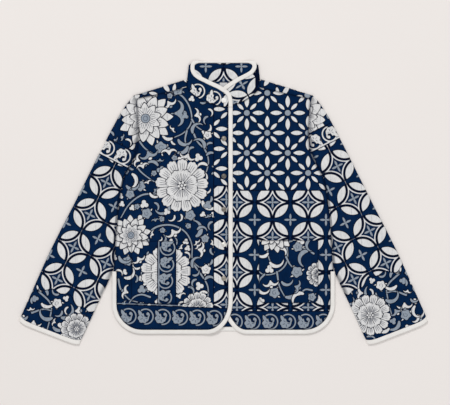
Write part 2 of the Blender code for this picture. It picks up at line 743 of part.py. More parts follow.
def make_collar(collection):
    """One standing band: along the back, round a fold at each side, and over to the ends."""
    v = np.linspace(0.0, 1.0, COLLAR_LEVELS)[None, :, None]
    share = np.linspace(-1.0, 1.0, COLLAR_STATIONS)[1:-1, None]
    low, high = np.array(COLLAR_FOLD, float)
    across = np.hstack([share * low[0], share * high[0]])
    seam_down = np.interp(np.abs(across[:, 0]), *np.array(NECK_BACK, float).T) - SEAM - CORNER_GAP
    top_down = np.full(len(share), COLLAR_BACK + BIND_BACK / 2 + SEAM)
    seam = np.column_stack([across[:, 0], HALF_LENGTH - seam_down])
    top = np.column_stack([across[:, 1], HALF_LENGTH - top_down])
    back = (1 - v) * seam[:, None] + v * top[:, None]
    faces = {0.0: [np.dstack([back, np.zeros(back.shape[:2])])],
             WALL: [np.dstack([back, np.full(back.shape[:2], WALL)])]}
    turn = np.radians([180.0, 144.0, 108.0, 72.0, 36.0])
    for side in TURN:
        plan, height = collar_half(side, COLLAR_LEVELS)
        fold = plan[0]
        for up, parts in faces.items():
            radius = FOLD - up
            round_it = np.array([np.column_stack([
                fold + (TURN[side] * radius * math.sin(angle), 0.0),
                np.full(COLLAR_LEVELS, FOLD + radius * math.cos(angle))]) for angle in turn])
            half = np.concatenate([round_it, np.dstack([plan, height + WALL - up])])
            parts.insert(len(parts) if side == "left" else 0,
                         half if side == "left" else half[::-1])
    outer, inner = (np.concatenate(faces[up]) for up in (0.0, WALL))
    return strip("collar", outer, inner, "printed_cotton", collection)


def make_collar_binding(collection):
    """The binding of the collar's edge, narrow along the back and full width in front."""
    half_back = laid(straight([(0, COLLAR_BACK), (BACK_STRAIGHT, COLLAR_BACK)], BACK_NECK_STEP),
                     "left")
    turn = laid(smooth(BACK_TURN, COLLAR_EDGE_STEP / 2), "left")
    lines, heights, widths = [], [], []
    for side in TURN:
        edge = collar_edge(side)
        flip = np.array([1.0 if side == "left" else -1.0, 1.0])
        line = joined(half_back * flip, turn[1:] * flip, edge[1:])
        span = np.abs(line[:, 0])
        count = len(edge) - 1
        share = np.concatenate([np.zeros(len(line) - count), np.linspace(0, 1, count + 1)[1:]])
        height = collar_height(line, side, share)
        rise = np.where(share > 0, 1.0, between(span, EDGE_RISES))
        lines.append(line if side == "left" else line[::-1])
        full = np.where(share > 0, 1.0, between(span, EDGE_WIDENS))
        widths.append(BIND_BACK + (BIND - BIND_BACK) * full)
        heights.append(height * rise)
    line = joined(lines[0], lines[1][1:])
    wide = np.concatenate([widths[0][::-1], widths[1][1:]])
    base = np.concatenate([heights[0][::-1], heights[1][1:]])
    return bar("binding_collar", moved(line, -wide / 2), base, wide, "binding_cotton", collection)


def make_snaps(collection):
    """Snap caps on the right front: a turned cap with a flat base and a rounded top."""
    on_collar, on_front = COLLAR_LIFT + 2 * FOLD, SEAM + WALL + LAP_LIFT + WALL
    for name, down, wide, high in SNAPS:
        mesh = bpy.data.meshes.new(name)
        edges = [(k, k + 1) for k in range(len(CAP_SHAPE) - 1)]
        outline = [(x * wide / 2 * MM, 0.0, z * high * MM) for x, z in CAP_SHAPE]
        mesh.from_pydata(outline, edges, [])
        mesh.materials.append(finish_of("snap_pearl" if name == "snap_collar" else "snap_metal"))
        cap = bpy.data.objects.new(name, mesh)
        collection.objects.link(cap)
        turn = cap.modifiers.new("turn", "SCREW")
        turn.steps = turn.render_steps = CAP_STEPS
        turn.use_merge_vertices = True
        turn.merge_threshold = SAME * MM / 5
        turn.use_smooth_shade = True
        lift = on_collar if name == "snap_collar" else on_front
        cap.location = (SNAP_X * MM, (HALF_LENGTH - down) * MM, (lift + SEAM) * MM)


def make_label(collection):
    """A small plain label on the inside of the back, under the collar's seam."""
    bpy.ops.mesh.primitive_cube_add(size=1.0)
    label = bpy.context.object
    label.name = "neck_label"
    label.data.name = "neck_label"
    label.scale = (LABEL_WIDE * MM, LABEL_TALL * MM, LABEL_WALL * MM)
    label.location = (0.0, (HALF_LENGTH - LABEL_DOWN) * MM,
                      (WALL + SEAM + LABEL_WALL / 2) * MM)
    bpy.ops.object.transform_apply(location=False, rotation=False, scale=True)
    label.data.materials.append(finish_of("label_tape"))
    for owner in list(label.users_collection):
        owner.objects.unlink(label)
    collection.objects.link(label)


def main():
    clear_scene()
    jacket = new_collection("quilted_jacket")
    make_back(jacket)
    make_back_binding(jacket)
    for side in TURN:
        make_front(side, jacket)
        make_front_binding(side, jacket)
        make_pocket(side, jacket)
        make_sleeve(side, jacket)
        make_cuff_binding(side, jacket)
    make_collar(jacket)
    make_collar_binding(jacket)
    make_snaps(jacket)
    make_label(jacket)


main()
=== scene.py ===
# %% [markdown]
# # A quilted cotton jacket, laid flat
#
# The jacket lies on its back on a pale table, its fronts closed and the right one on top. Every
# piece that a maker cuts is made here as its own mesh: two fronts, a back, two sleeves, a standing
# collar, two patch pockets, the bindings round the free edges, six snap caps and a small label.
#
# The plain solids of the same pieces are loaded first, as a fixed frame. Each piece below stands
# for one of them, in the same place, with the finer form and the printed cloth that they lack.

# %% Load the frame
import math

import bpy
import numpy as np
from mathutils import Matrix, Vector
from mathutils.geometry import delaunay_2d_cdt


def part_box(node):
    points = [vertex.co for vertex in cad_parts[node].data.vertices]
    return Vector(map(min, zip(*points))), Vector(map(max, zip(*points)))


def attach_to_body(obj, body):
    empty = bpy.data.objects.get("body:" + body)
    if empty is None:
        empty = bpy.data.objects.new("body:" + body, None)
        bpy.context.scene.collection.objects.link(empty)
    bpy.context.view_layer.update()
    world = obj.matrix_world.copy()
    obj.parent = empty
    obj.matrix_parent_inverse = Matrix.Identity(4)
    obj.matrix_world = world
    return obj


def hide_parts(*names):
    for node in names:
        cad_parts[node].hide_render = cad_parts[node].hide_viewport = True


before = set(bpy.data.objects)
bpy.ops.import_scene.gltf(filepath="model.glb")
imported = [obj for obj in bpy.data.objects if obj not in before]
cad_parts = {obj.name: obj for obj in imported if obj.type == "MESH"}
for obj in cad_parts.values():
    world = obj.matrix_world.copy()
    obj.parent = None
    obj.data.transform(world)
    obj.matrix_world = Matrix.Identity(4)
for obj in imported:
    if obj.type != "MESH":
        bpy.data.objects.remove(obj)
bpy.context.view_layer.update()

# %% [markdown]
# ## Sizes
#
# A garment is drafted flat, so two numbers place a point of the pattern: across, from the centre
# line to one side, and down, from the collar's top edge. All lengths are in millimetres and are
# turned into metres when a mesh is made. Heights are measured up from the table.

# %% Sizes of the cloth
MM = 0.001
WALL = 3.0  # two cottons over thin wadding
PATCH_WALL = 2.4  # the same cloth, pressed flatter on a pocket
SEAM = 0.3  # the gap between two pieces that are sewn together
FOLD = 3.3  # outer radius where two walls turn round an edge
AIR = 2.3  # how far the fronts rise off the back in the middle
SLEEVE_AIR = 2.6
QUILT = 0.8  # how far the wadding stands up between two rows of stitches
ROW = 24.5  # from one row of stitches to the next
PLUMP = 1.6  # the higher this power, the flatter the wadding's crest
EASE = 9.0  # the quilting runs out this far from a seam
BIND, BIND_BACK = 10.0, 5.0  # the binding's width, and what shows of it behind the neck
PROUD = 0.4  # how much thicker the binding is than the cloth
print("a binding is", BIND, "mm wide, and the rows of stitches are", ROW, "mm apart")

# %% Sizes of the whole garment
LENGTH = 683.9
HALF_LENGTH = LENGTH / 2
SIDE, VENT, HEM, BACK_HEM, CORNER, BACK_IN = 267.0, 505.0, 655.0, 648.0, 72.0, 2.0
RIGHT_EDGE, RIGHT_CORNER = 22.0, (62.0, 80.0)
LEFT_EDGE, LEFT_CORNER = 16.0, (70.0, 150.0)
LAP_START, LAP_END, LAP_LIFT = 60.0, 14.0, 4.2
COLLAR_LIFT, COLLAR_AIR = 5.2, 1.2
NECK = ((86.5, 63), (79, 74), (62, 87), (43, 98), (20, 105), (0, 109), (-12, 110.5))
NECK_SHOULDER = ((89, 48.5), (88, 56), (87, 62.6))
NECK_BACK = ((0, 50), (40, 50), (70, 49), (84.5, 47.5))
NECK_END = 111.0
SHOULDER = ((86.5, 43), (214.5, 83))
FRONT_SEAM = ((86.5, 63), (110, 68.5), (153, 79), (196, 88), (211.5, 91.5))
ARMHOLE = ((214.5, 83), (211.5, 91.5), (207, 113), (205.5, 147), (204.5, 180),
           (209, 222), (225, 253), (238.5, 276))
SIDE_SEAM = ((238.5, 276), (250, 333), (256, 389), (260, 449), (263, 496), (264, 505))
SLEEVE_OUTER = ((214.5, 83), (232, 104), (255.5, 141), (293, 213), (353, 333), (414, 453),
                (468, 573), (488, 619))
SLEEVE_INNER = ((238.5, 276), (250, 333), (256, 389), (260, 449), (266, 503), (303, 585),
                (344, 675))
CHANNELS = 7  # rows of wadding round the top of a sleeve
COLLAR_BACK = 2.6
COLLAR_FOLD = ((84.3, 45.6), (80.0, 9.0))
COLLAR_EDGE = {
    "right": ((74.2, 10), (74.3, 20), (69.5, 31), (59, 39.5), (35.5, 51.5), (15, 61),
              (0, 69.5), (-9, 77), (-14, 85), (-16.5, 95), (-17, 103), (-17, 110.7)),
    "left": ((74.2, 10), (73.8, 17), (68, 26), (58, 33), (35.5, 44.5), (15, 57),
             (2, 67), (-6, 75), (-9.5, 84), (-11, 94), (-11, 103), (-11, 110.7)),
}
POCKET = {"right": (150.0, 507.0), "left": (156.0, 505.5)}
POCKET_WIDE, POCKET_TALL, POCKET_CORNER, ON_TOP = 142.0, 150.0, 14.0, 0.6
TURN = {"right": -1.0, "left": 1.0}  # the wearer's right is at -X
print("the body is", 2 * SIDE, "mm wide, and the jacket lies", LENGTH, "mm long")

# %% [markdown]
# ## Drafting helpers
#
# These few functions do what a pattern cutter does with a ruler and a curve: lay points out on one
# side, draw a soft curve through them, space points along it, and move a line sideways by a seam.

# %% Curves and lines
def laid(points, side):
    """(across, down) as X and Y of the laid garment, on one side of the centre line."""
    points = np.asarray(points, float)
    return np.stack([points[:, 0] * TURN[side], HALF_LENGTH - points[:, 1]], axis=1)


def along(line):
    """The length from the start of a line to each of its points."""
    steps = np.linalg.norm(np.diff(line, axis=0), axis=1)
    return np.concatenate([[0.0], np.cumsum(steps)])


def spaced(line, count):
    """That many points at equal lengths along a line."""
    length = along(line)
    wanted = np.linspace(0.0, length[-1], count)
    return np.stack([np.interp(wanted, length, line[:, k]) for k in range(line.shape[1])], axis=1)


def smooth(points, spacing):
    """A Catmull-Rom curve: each stretch is the cubic that leaves a point along its neighbours."""
    knots = np.asarray(points, float)
    ends = np.vstack([2 * knots[0] - knots[1], knots, 2 * knots[-1] - knots[-2]])
    a, b, c, d = (ends[k:len(ends) - 3 + k, None] for k in range(4))
    t = np.linspace(0.0, 1.0, 12, endpoint=False)[None, :, None]
    run = 0.5 * (2 * b + (c - a) * t + (2 * a - 5 * b + 4 * c - d) * t**2
                 + (3 * b - a - 3 * c + d) * t**3)
    line = np.vstack([run.reshape(-1, knots.shape[1]), knots[-1:]])
    return spaced(line, max(2, round(along(line)[-1] / spacing) + 1))


def straight(points, spacing):
    """Straight runs between the points, which all stay, with points between them."""
    runs = []
    for a, b in zip(points[:-1], points[1:]):
        count = max(1, round(math.dist(a, b) / spacing))
        runs.append(np.linspace(a, b, count, endpoint=False))
    return np.vstack(runs + [np.asarray(points[-1:], float)])


def arc(middle, radii, start, end, count):
    """Part of an ellipse about a middle, in (across, down); angles in degrees."""
    turn = np.radians(np.linspace(start, end, count))
    return np.stack([middle[0] + radii[0] * np.cos(turn),
                     middle[1] + radii[1] * np.sin(turn)], axis=1)


def joined(*runs):
    """Runs of points as one line, without the points that repeat."""
    line = np.vstack(runs)
    keep = np.ones(len(line), bool)
    keep[1:] = np.linalg.norm(np.diff(line, axis=0), axis=1) > 0.05
    return line[keep]


def moved(line, distance):
    """An open line moved to its left by a distance, its corners kept."""
    run = np.diff(line, axis=0)
    run = run / np.linalg.norm(run, axis=1, keepdims=True)
    before, after = np.vstack([run[:1], run]), np.vstack([run, run[-1:]])
    middle = before + after
    middle = middle / np.linalg.norm(middle, axis=1, keepdims=True)
    reach = 1.0 / np.clip((middle * after).sum(axis=1, keepdims=True), 0.5, 1.0)
    left = np.stack([-middle[:, 1], middle[:, 0]], axis=1)
    distance = np.broadcast_to(np.asarray(distance, float), (len(line),))
    return line + left * reach * distance[:, None]


def ramp(value):
    """A smooth step from 0 to 1."""
    value = np.clip(value, 0.0, 1.0)
    return value * value * (3.0 - 2.0 * value)


SLEEVE_LONG = float(along(smooth(SLEEVE_OUTER, 5.0))[-1])
print("shoulder to cuff:", round(SLEEVE_LONG), "mm")

# %% [markdown]
# ## Panels
#
# A cut panel is a flat outline whose surface is a height over the plan. A staggered grid of points
# inside the outline, joined to it by Blender's constrained Delaunay triangles, gives even triangles
# right up to a curved edge, where a plain rectangular grid would leave steps. The upper net is fine
# because it carries the print, and the lower one is coarse because it only closes the wall.

# %% Outlines
def anticlockwise(outline):
    x, y = outline[:, 0], outline[:, 1]
    area = (x * np.roll(y, -1) - np.roll(x, -1) * y).sum()
    return outline if area > 0 else outline[::-1]


def shifted(outline, distance):
    """A closed outline that runs anticlockwise, moved inwards by a distance."""
    before = outline - np.roll(outline, 1, axis=0)
    after = np.roll(outline, -1, axis=0) - outline
    before = before / np.linalg.norm(before, axis=1, keepdims=True)
    after = after / np.linalg.norm(after, axis=1, keepdims=True)
    left = np.stack([-before[:, 1], before[:, 0]], axis=1)
    left_after = np.stack([-after[:, 1], after[:, 0]], axis=1)
    middle = left + left_after
    middle = middle / np.linalg.norm(middle, axis=1, keepdims=True)
    reach = 1.0 / np.clip((middle * left_after).sum(axis=1, keepdims=True), 0.5, 1.0)
    return outline + middle * reach * distance


def in_chunks(points, work, size=6000):
    """A function of many points, worked out a few thousand at a time to spare memory."""
    return np.concatenate([work(points[k:k + size]) for k in range(0, len(points), size)])


def distance_to(points, outline):
    """How far each point is from the nearest edge of a closed outline."""
    start, run = outline, np.roll(outline, -1, axis=0) - outline
    long = (run**2).sum(-1)

    def near(p):
        offset = p[:, None, :] - start[None]
        share = np.clip((offset * run[None]).sum(-1) / long[None], 0.0, 1.0)
        return np.linalg.norm(offset - share[..., None] * run[None], axis=-1).min(axis=1)

    return in_chunks(points, near)


def inside(points, outline):
    """Which points are inside a closed outline, by counting crossings."""
    ax, ay = outline[None, :, 0], outline[None, :, 1]
    bx, by = np.roll(ax, -1, axis=1), np.roll(ay, -1, axis=1)
    rise = np.where(by == ay, 1e-9, by - ay)

    def within(p):
        x, y = p[:, :1], p[:, 1:]
        crosses = ((ay > y) != (by > y)) & (x < ax + (bx - ax) * (y - ay) / rise)
        return crosses.sum(axis=1) % 2 == 1

    return in_chunks(points, within)


# %% Points in an outline, and a net over them
def dense(outline, spacing):
    """The same closed outline with points at most a spacing apart, its corners kept."""
    return straight(np.vstack([outline, outline[:1]]), spacing)[:-1]


def grid_in(outline, spacing):
    """Points of a staggered grid inside an outline, a little clear of its edge."""
    low, high = outline.min(axis=0), outline.max(axis=0)
    x = np.arange(low[0], high[0], spacing)
    y = np.arange(low[1], high[1], spacing * 0.866)
    grid = np.stack(np.meshgrid(x, y), axis=-1)
    grid[1::2, :, 0] += spacing / 2
    grid = grid.reshape(-1, 2)
    grid = grid[inside(grid, outline)]
    return grid[distance_to(grid, outline) > spacing * 0.55]


def net_of(outline, points):
    """Triangles over an outline and the points in it; the outline's points come first."""
    corners = [Vector(p) for p in np.vstack([outline, points]).tolist()]
    found = delaunay_2d_cdt(corners, [], [list(range(len(outline)))], 1, 1e-5)
    first = np.array([origins[0] for origins in found[3]])
    return first[np.array(found[2])]


SQUARE = np.array([(0.0, 0.0), (100.0, 0.0), (100.0, 100.0), (0.0, 100.0)])
print("a 10 mm grid puts", len(grid_in(SQUARE, 10.0)), "points in a square of 100 mm")


# %% Closing a wall
def stitched(fine, coarse, picks):
    """Triangles between two closed rims. picks are the places in fine of coarse's points.

    Each step of the coarse rim takes its fine points: the first half fan from its start, the
    second half from its end, and one triangle joins the halves.
    """
    faces = []
    for k, start in enumerate(picks):
        a, b = coarse[k], coarse[(k + 1) % len(coarse)]
        count = (picks[(k + 1) % len(picks)] - start - 1) % len(fine) + 1
        own = [fine[(start + i) % len(fine)] for i in range(count + 1)]
        half = (count + 1) // 2
        faces += [(a, own[i + 1], own[i]) for i in range(half)]
        faces.append((a, b, own[half]))
        faces += [(b, own[i + 1], own[i]) for i in range(half, count)]
    return np.array(faces)


def mesh_of(name, points, faces, finishes, fields=None, face_finish=None):
    """A mesh object from points in millimetres and triangles, with the print's fields on it."""
    mesh = bpy.data.meshes.new(name)
    mesh.vertices.add(len(points))
    mesh.vertices.foreach_set("co", (np.asarray(points, np.float32) * MM).ravel())
    mesh.loops.add(faces.size)
    mesh.loops.foreach_set("vertex_index", faces.astype(np.int32).ravel())
    mesh.polygons.add(len(faces))
    mesh.polygons.foreach_set("loop_start", np.arange(0, faces.size, 3, dtype=np.int32))
    mesh.update(calc_edges=True)
    mesh.validate()
    for field, values in (fields or {}).items():
        held = mesh.attributes.new(field, "FLOAT", "POINT")
        held.data.foreach_set("value", np.asarray(values, np.float32))
    for finish in finishes:
        mesh.materials.append(finish)
    if face_finish is not None:
        mesh.polygons.foreach_set("material_index", face_finish.astype(np.int32))
    mesh.shade_smooth()
    thing = bpy.data.objects.new(name, mesh)
    bpy.context.scene.collection.objects.link(thing)
    return thing


def turned_out(points, faces):
    """The faces, all turned round if the closed surface they make is inside out."""
    a, b, c = (np.asarray(points)[faces[:, k]] for k in range(3))
    volume = (a * np.cross(b, c)).sum() / 6.0
    return faces if volume > 0 else faces[:, ::-1]


def quads(rows, columns, closed=False):
    """Triangles of a grid of points, stations x across; closed joins the last column to the first."""
    r = np.arange(rows - 1)[:, None]
    c = np.arange(columns if closed else columns - 1)[None]
    n = (c + 1) % columns
    a, b, d, e = r * columns + c, r * columns + n, (r + 1) * columns + n, (r + 1) * columns + c
    return np.stack([np.stack([a, b, d], -1), np.stack([a, d, e], -1)], 2).reshape(-1, 3)


def slab(upper, lower):
    """Points and faces of a closed slab: two grids of like size, and a rim round their edges."""
    rows, columns = upper.shape[:2]
    size, net = rows * columns, quads(rows, columns)
    edge = np.concatenate([
        np.arange(columns), np.arange(2, rows + 1) * columns - 1,
        np.arange(size - 2, size - columns - 1, -1), np.arange(rows - 2, 0, -1) * columns])
    after = np.roll(edge, -1)
    rim = np.vstack([np.stack([after, edge, edge + size], 1),
                     np.stack([after, edge + size, after + size], 1)])
    points = np.vstack([upper.reshape(-1, 3), lower.reshape(-1, 3)])
    return points, turned_out(points, np.vstack([net, net[:, ::-1] + size, rim]))


print("triangles of a box, as a slab:", len(slab(np.zeros((2, 2, 3)), np.ones((2, 2, 3)))[1]))


# %% [markdown]
# ## Finishes
#
# The cloth is a plain weave of indigo cotton. Its print is drawn further down as fields: numbers on
# the points that say how far, in millimetres, each point lies inside a motif. The material turns a
# field into ink by a short step at zero, so an edge stays sharp between two points of the mesh.
# Weave, slub, the dimples of the stitches and the soft sheen of cotton come from its nodes.

# %% Small helpers for nodes
# the darkest navy is both the print's outline ink and the colour of the painted shade along seams
INDIGO, DARK_INK_AND_SHADE = (0.0010, 0.0118, 0.0455), (0.0004, 0.0034, 0.0165)
CREAM, GREY = (0.740, 0.745, 0.755), (0.275, 0.320, 0.380)
STEP = 0.32  # half the width of an ink's edge
PAINTED_SHADE_DEPTH = 0.62  # how dark the painted shade along a seam is
STITCH, STITCH_WIDE = 3.8, 0.42  # from one stitch to the next, and half a stitch's width
print("an ink's edge is", 2 * STEP, "mm soft, and a stitch comes every", STITCH, "mm")


class Bench:
    """A material's nodes, with short ways to add and join them."""

    def __init__(self, name, roughness, metallic=0.0, sheen=0.0, specular=0.5):
        self.material = bpy.data.materials.new(name)
        self.material.use_nodes = True
        self.nodes, self.links = self.material.node_tree.nodes, self.material.node_tree.links
        self.shader = self.nodes["Principled BSDF"]
        self.shader.inputs["Roughness"].default_value = roughness
        self.shader.inputs["Metallic"].default_value = metallic
        self.shader.inputs["Sheen Weight"].default_value = sheen
        self.shader.inputs["Sheen Roughness"].default_value = 0.5
        self.shader.inputs["Specular IOR Level"].default_value = specular

    def add(self, kind, inputs=None, **settings):
        node = self.nodes.new(kind)
        for key, value in settings.items():
            setattr(node, key, value)
        for key, value in (inputs or {}).items():
            if isinstance(value, bpy.types.NodeSocket):
                self.links.new(value, node.inputs[key])
            else:
                node.inputs[key].default_value = value
        return node

    def math(self, operation, a, b=0.0, c=0.0):
        inputs = {0: a, 1: b, 2: c} if operation == "MULTIPLY_ADD" else {0: a, 1: b}
        return self.add("ShaderNodeMath", inputs, operation=operation).outputs[0]

    def field(self, name):
        return self.add("ShaderNodeAttribute", attribute_name=name).outputs["Fac"]

    def step(self, value, low=-STEP, high=STEP):
        """0 below low, 1 above high, a straight line between."""
        inputs = {"Value": value, "From Min": low, "From Max": high}
        return self.add("ShaderNodeMapRange", inputs, clamp=True).outputs["Result"]

    def mix(self, share, a, b):
        a = (*a, 1.0) if isinstance(a, tuple) else a
        b = (*b, 1.0) if isinstance(b, tuple) else b
        node = self.add("ShaderNodeMix", {"Factor": share, 6: a, 7: b}, data_type="RGBA")
        return node.outputs[2]

    def place(self, degrees=0.0, scale=(1.0, 1.0, 1.0)):
        """The object's own coordinates, turned about the upright axis and scaled."""
        where = self.add("ShaderNodeTexCoord").outputs["Object"]
        turn = {"Vector": where, "Rotation": (0.0, 0.0, math.radians(degrees)), "Scale": scale}
        return self.add("ShaderNodeMapping", turn).outputs["Vector"]

    def noise(self, vector, scale, detail=2.0, roughness=0.5):
        inputs = {"Vector": vector, "Scale": scale, "Detail": detail, "Roughness": roughness}
        return self.add("ShaderNodeTexNoise", inputs).outputs["Fac"]

    def wave(self, vector, scale, direction):
        inputs = {"Vector": vector, "Scale": scale, "Distortion": 0.0}
        return self.add("ShaderNodeTexWave", inputs, bands_direction=direction).outputs["Fac"]

    def weave(self, vector, threads):
        """Over and under: the product of two sets of threads that cross, threads to a metre."""
        scale = threads * math.pi / 10.0
        return self.math("MULTIPLY", self.wave(vector, scale, "X"), self.wave(vector, scale, "Y"))

    def finish(self, colour, height, distance=0.0004, strength=0.5):
        bump = {"Height": height, "Distance": distance, "Strength": strength}
        normal = self.add("ShaderNodeBump", bump).outputs["Normal"]
        self.links.new(colour, self.shader.inputs["Base Color"])
        self.links.new(normal, self.shader.inputs["Normal"])
        return self.material


# %% [markdown]
# ### Printed cotton
#
# The inks lie over each other as a printer lays them: indigo ground, dark outline, grey-blue,
# cream, and fine veins left open. An image would be simpler, but blurs close up; a field doesn't.

# %% Printed cotton
def printed_cotton(name, degrees=0.0):
    """Indigo under dark outlines, grey-blue and cream ink, with fine lines left in the indigo."""
    b = Bench(name, roughness=0.85, sheen=0.01, specular=0.03)
    at = b.place(degrees)
    wobble = b.math("MULTIPLY_ADD", b.noise(at, 700.0, 1.0), 0.5, -0.25)
    ink = {key: b.math("ADD", b.field(key), wobble) for key in ("cream", "grey", "dark")}
    worn = b.noise(at, 45.0, 3.0, 0.6)
    slub = b.noise(b.place(degrees, (1.0, 0.12, 1.0)), 900.0, 1.0)
    cloth = b.mix(b.step(worn, 0.3, 0.75), INDIGO, tuple(1.45 * x for x in INDIGO))
    colour = b.mix(b.step(ink["dark"], -0.6, 0.6), cloth, DARK_INK_AND_SHADE)
    colour = b.mix(b.step(ink["grey"]), colour, GREY)
    pale = b.mix(b.step(worn, 0.25, 0.8), CREAM, tuple(0.86 * x for x in CREAM))
    colour = b.mix(b.step(ink["cream"]), colour, pale)
    colour = b.mix(b.math("MULTIPLY", b.step(b.field("vein"), -0.6, 0.2), 0.92), colour, INDIGO)
    threads = b.math("MULTIPLY_ADD", slub, 0.5, 0.75)
    colour = b.add("ShaderNodeVectorMath", {0: colour, 1: b.add(
        "ShaderNodeCombineXYZ", {0: threads, 1: threads, 2: threads}).outputs[0]},
        operation="MULTIPLY").outputs[0]
    # painted shade: the cloth is darkened along seams, pocket edges, the armhole's gathers and the
    # sleeve's side, where shade falls
    painted_shade = b.math("MULTIPLY", b.math("MAXIMUM", b.field("painted_shade"), 0.0), PAINTED_SHADE_DEPTH)
    colour = b.mix(b.math("MULTIPLY", painted_shade, b.math("ADD", worn, 0.5)), colour, DARK_INK_AND_SHADE)
    row = b.math("ABSOLUTE", b.math("SUBTRACT", b.math("FRACT", b.field("row")), 0.5))
    on_row = b.step(b.math("MULTIPLY", row, ROW), STITCH_WIDE * 1.3, STITCH_WIDE * 0.6)
    dash = b.math("FRACT", b.math("DIVIDE", b.field("run"), STITCH))
    thread = b.math("MULTIPLY", on_row, b.step(dash, 0.34, 0.44))
    colour = b.mix(b.math("MULTIPLY", thread, 0.55), colour, tuple(2.6 * x for x in INDIGO))
    dimple = b.step(b.math("MULTIPLY", row, ROW), 0.2, 2.6)
    height = b.math("ADD", b.math("MULTIPLY", b.weave(at, 1500.0), 0.22),
                    b.math("MULTIPLY", slub, 0.25))
    height = b.math("ADD", height, b.math("MULTIPLY", b.noise(at, 110.0, 3.0), 1.3))
    height = b.math("ADD", height, b.math("ADD", b.math("MULTIPLY", dimple, 0.8), thread))
    return b.finish(colour, height, 0.0005, 0.55)


PRINTED = printed_cotton("printed_cotton_indigo")
print("the printed cotton has", len(PRINTED.node_tree.nodes), "nodes")


# %% [markdown]
# ### Binding, tape, metal, pearl and table
#
# The trims each have one short recipe: ribbed bias cotton, plain tape, plated brass worn bright
# in patches, and one pearly cap. A pattern of noise does for all their small marks.

# %% Binding, tape, metal, pearl and table
def bias_binding():
    """Undyed cotton with fine ribs, a little greyer in patches."""
    b = Bench("binding_cotton_cream", roughness=0.8, sheen=0.15, specular=0.3)
    at = b.place(45.0)
    worn = b.noise(at, 60.0, 3.0)
    colour = b.mix(b.step(worn, 0.3, 0.75), (0.86, 0.845, 0.825), (0.79, 0.77, 0.745))
    height = b.math("ADD", b.math("MULTIPLY", b.weave(at, 1600.0), 0.5), b.noise(at, 420.0, 3.0))
    return b.finish(colour, height, 0.0003, 0.5)


def label_tape():
    b = Bench("label_tape_grey", roughness=0.7, sheen=0.1, specular=0.3)
    at = b.place()
    colour = b.mix(b.noise(at, 500.0), (0.50, 0.51, 0.53), (0.60, 0.61, 0.62))
    return b.finish(colour, b.weave(at, 1400.0), 0.0002, 0.5)


def cap_metal(name, colour, metallic=0.75, roughness=0.42):
    """Plated brass, rubbed brighter in patches of noise."""
    b = Bench(name, roughness=roughness, metallic=metallic)
    at = b.place()
    worn = b.step(b.noise(at, 350.0, 4.0, 0.65), 0.35, 0.7)
    tint = b.mix(worn, colour, tuple(min(1.0, 1.35 * x) for x in colour))
    return b.finish(tint, b.noise(at, 1500.0, 2.0), 0.00008, 0.4)


def table_top():
    """A smooth pale sheet with the faintest grain."""
    b = Bench("table_pale", roughness=0.9, specular=0.2)
    at = b.place()
    colour = b.mix(b.noise(at, 3.0, 2.0), (0.835, 0.80, 0.78), (0.85, 0.815, 0.795))
    return b.finish(colour, b.noise(at, 900.0, 2.0), 0.0001, 0.1)


SLEEVE_CLOTH = {side: printed_cotton(f"printed_cotton_sleeve_{side}", 26.6 * TURN[side])
                for side in TURN}  # the sleeves' grain runs down the arm
BOUND = bias_binding()
TAPE = label_tape()
PEARL = cap_metal("snap_pearl_white", (0.80, 0.79, 0.76), metallic=0.1, roughness=0.22)
METALS = {f"snap_{k}": cap_metal(f"snap_metal_{tone}", colour) for k, tone, colour in (
    (1, "grey", (0.24, 0.22, 0.19)), (2, "dark", (0.12, 0.11, 0.10)),
    (3, "brown", (0.17, 0.155, 0.14)), (4, "light", (0.62, 0.61, 0.58)),
    (5, "stone", (0.27, 0.25, 0.22)))}
TABLE = table_top()
print("finishes:", len(bpy.data.materials))

# %% [markdown]
# ## The print
#
# The cloth is pieced from several traditional indigo prints: a lattice of eight-petalled stars,
# linked circles, a running scroll of curled leaves, and a field of chrysanthemums among vines. Each
# is drawn here by formula. A motif is a function that gives each point of
# the cloth its distance inside the motif, in millimetres: above zero inside, below zero outside.
#
# Distances are easy to combine. The larger of two is both shapes together, the smaller is their
# overlap, and a later motif clears a narrow gap round itself by pushing the earlier ones down.

# %% Shapes as distances
NONE = -9.0  # a field's value where there is no motif


def turned(points, middle, degrees):
    """Coordinates about a middle, along a direction and across it."""
    angle = math.radians(degrees)
    x, y = points[:, 0] - middle[0], points[:, 1] - middle[1]
    return (x * math.cos(angle) + y * math.sin(angle), y * math.cos(angle) - x * math.sin(angle))


def disc(u, v, radius):
    return radius - np.hypot(u, v)


def lens(u, v, long, wide):
    """The overlap of two circles: a petal with a point at both ends, lying along u."""
    a, b = long / 2, wide / 2
    radius = (a * a + b * b) / (2 * b)
    return radius - np.hypot(u, np.abs(v) + radius - b)


def horn(u, v, middle, radius, start, sweep, wide, slim=0.5):
    """A curled leaf: a stroke along an arc, swelling past its root and running out to a point."""
    x, y = u - middle[0], v - middle[1]
    way = 1.0 if sweep > 0 else -1.0
    start, sweep = math.radians(start), math.radians(abs(sweep))
    angle = ((np.arctan2(y, x) - start) * way + math.pi - sweep / 2) % (2 * math.pi)
    t = np.clip((angle - math.pi + sweep / 2) / sweep, 0.0, 1.0)
    at = start + way * t * sweep
    away = np.hypot(x - radius * np.cos(at), y - radius * np.sin(at))
    swell = np.minimum(1.0, slim + 2.4 * t)
    return wide / 2 * (1 - t) ** 0.7 * swell - away


def ring(u, v, radius, wide, start=-180.0, sweep=360.0):
    """A stroke of even width along part of a circle, with round ends."""
    angle = (np.degrees(np.arctan2(v, u)) - start) % 360.0
    t = np.where(angle > sweep + (360.0 - sweep) / 2, 0.0, np.minimum(angle, sweep))
    at = np.radians(start + t)
    return wide / 2 - np.hypot(u - radius * np.cos(at), v - radius * np.sin(at))


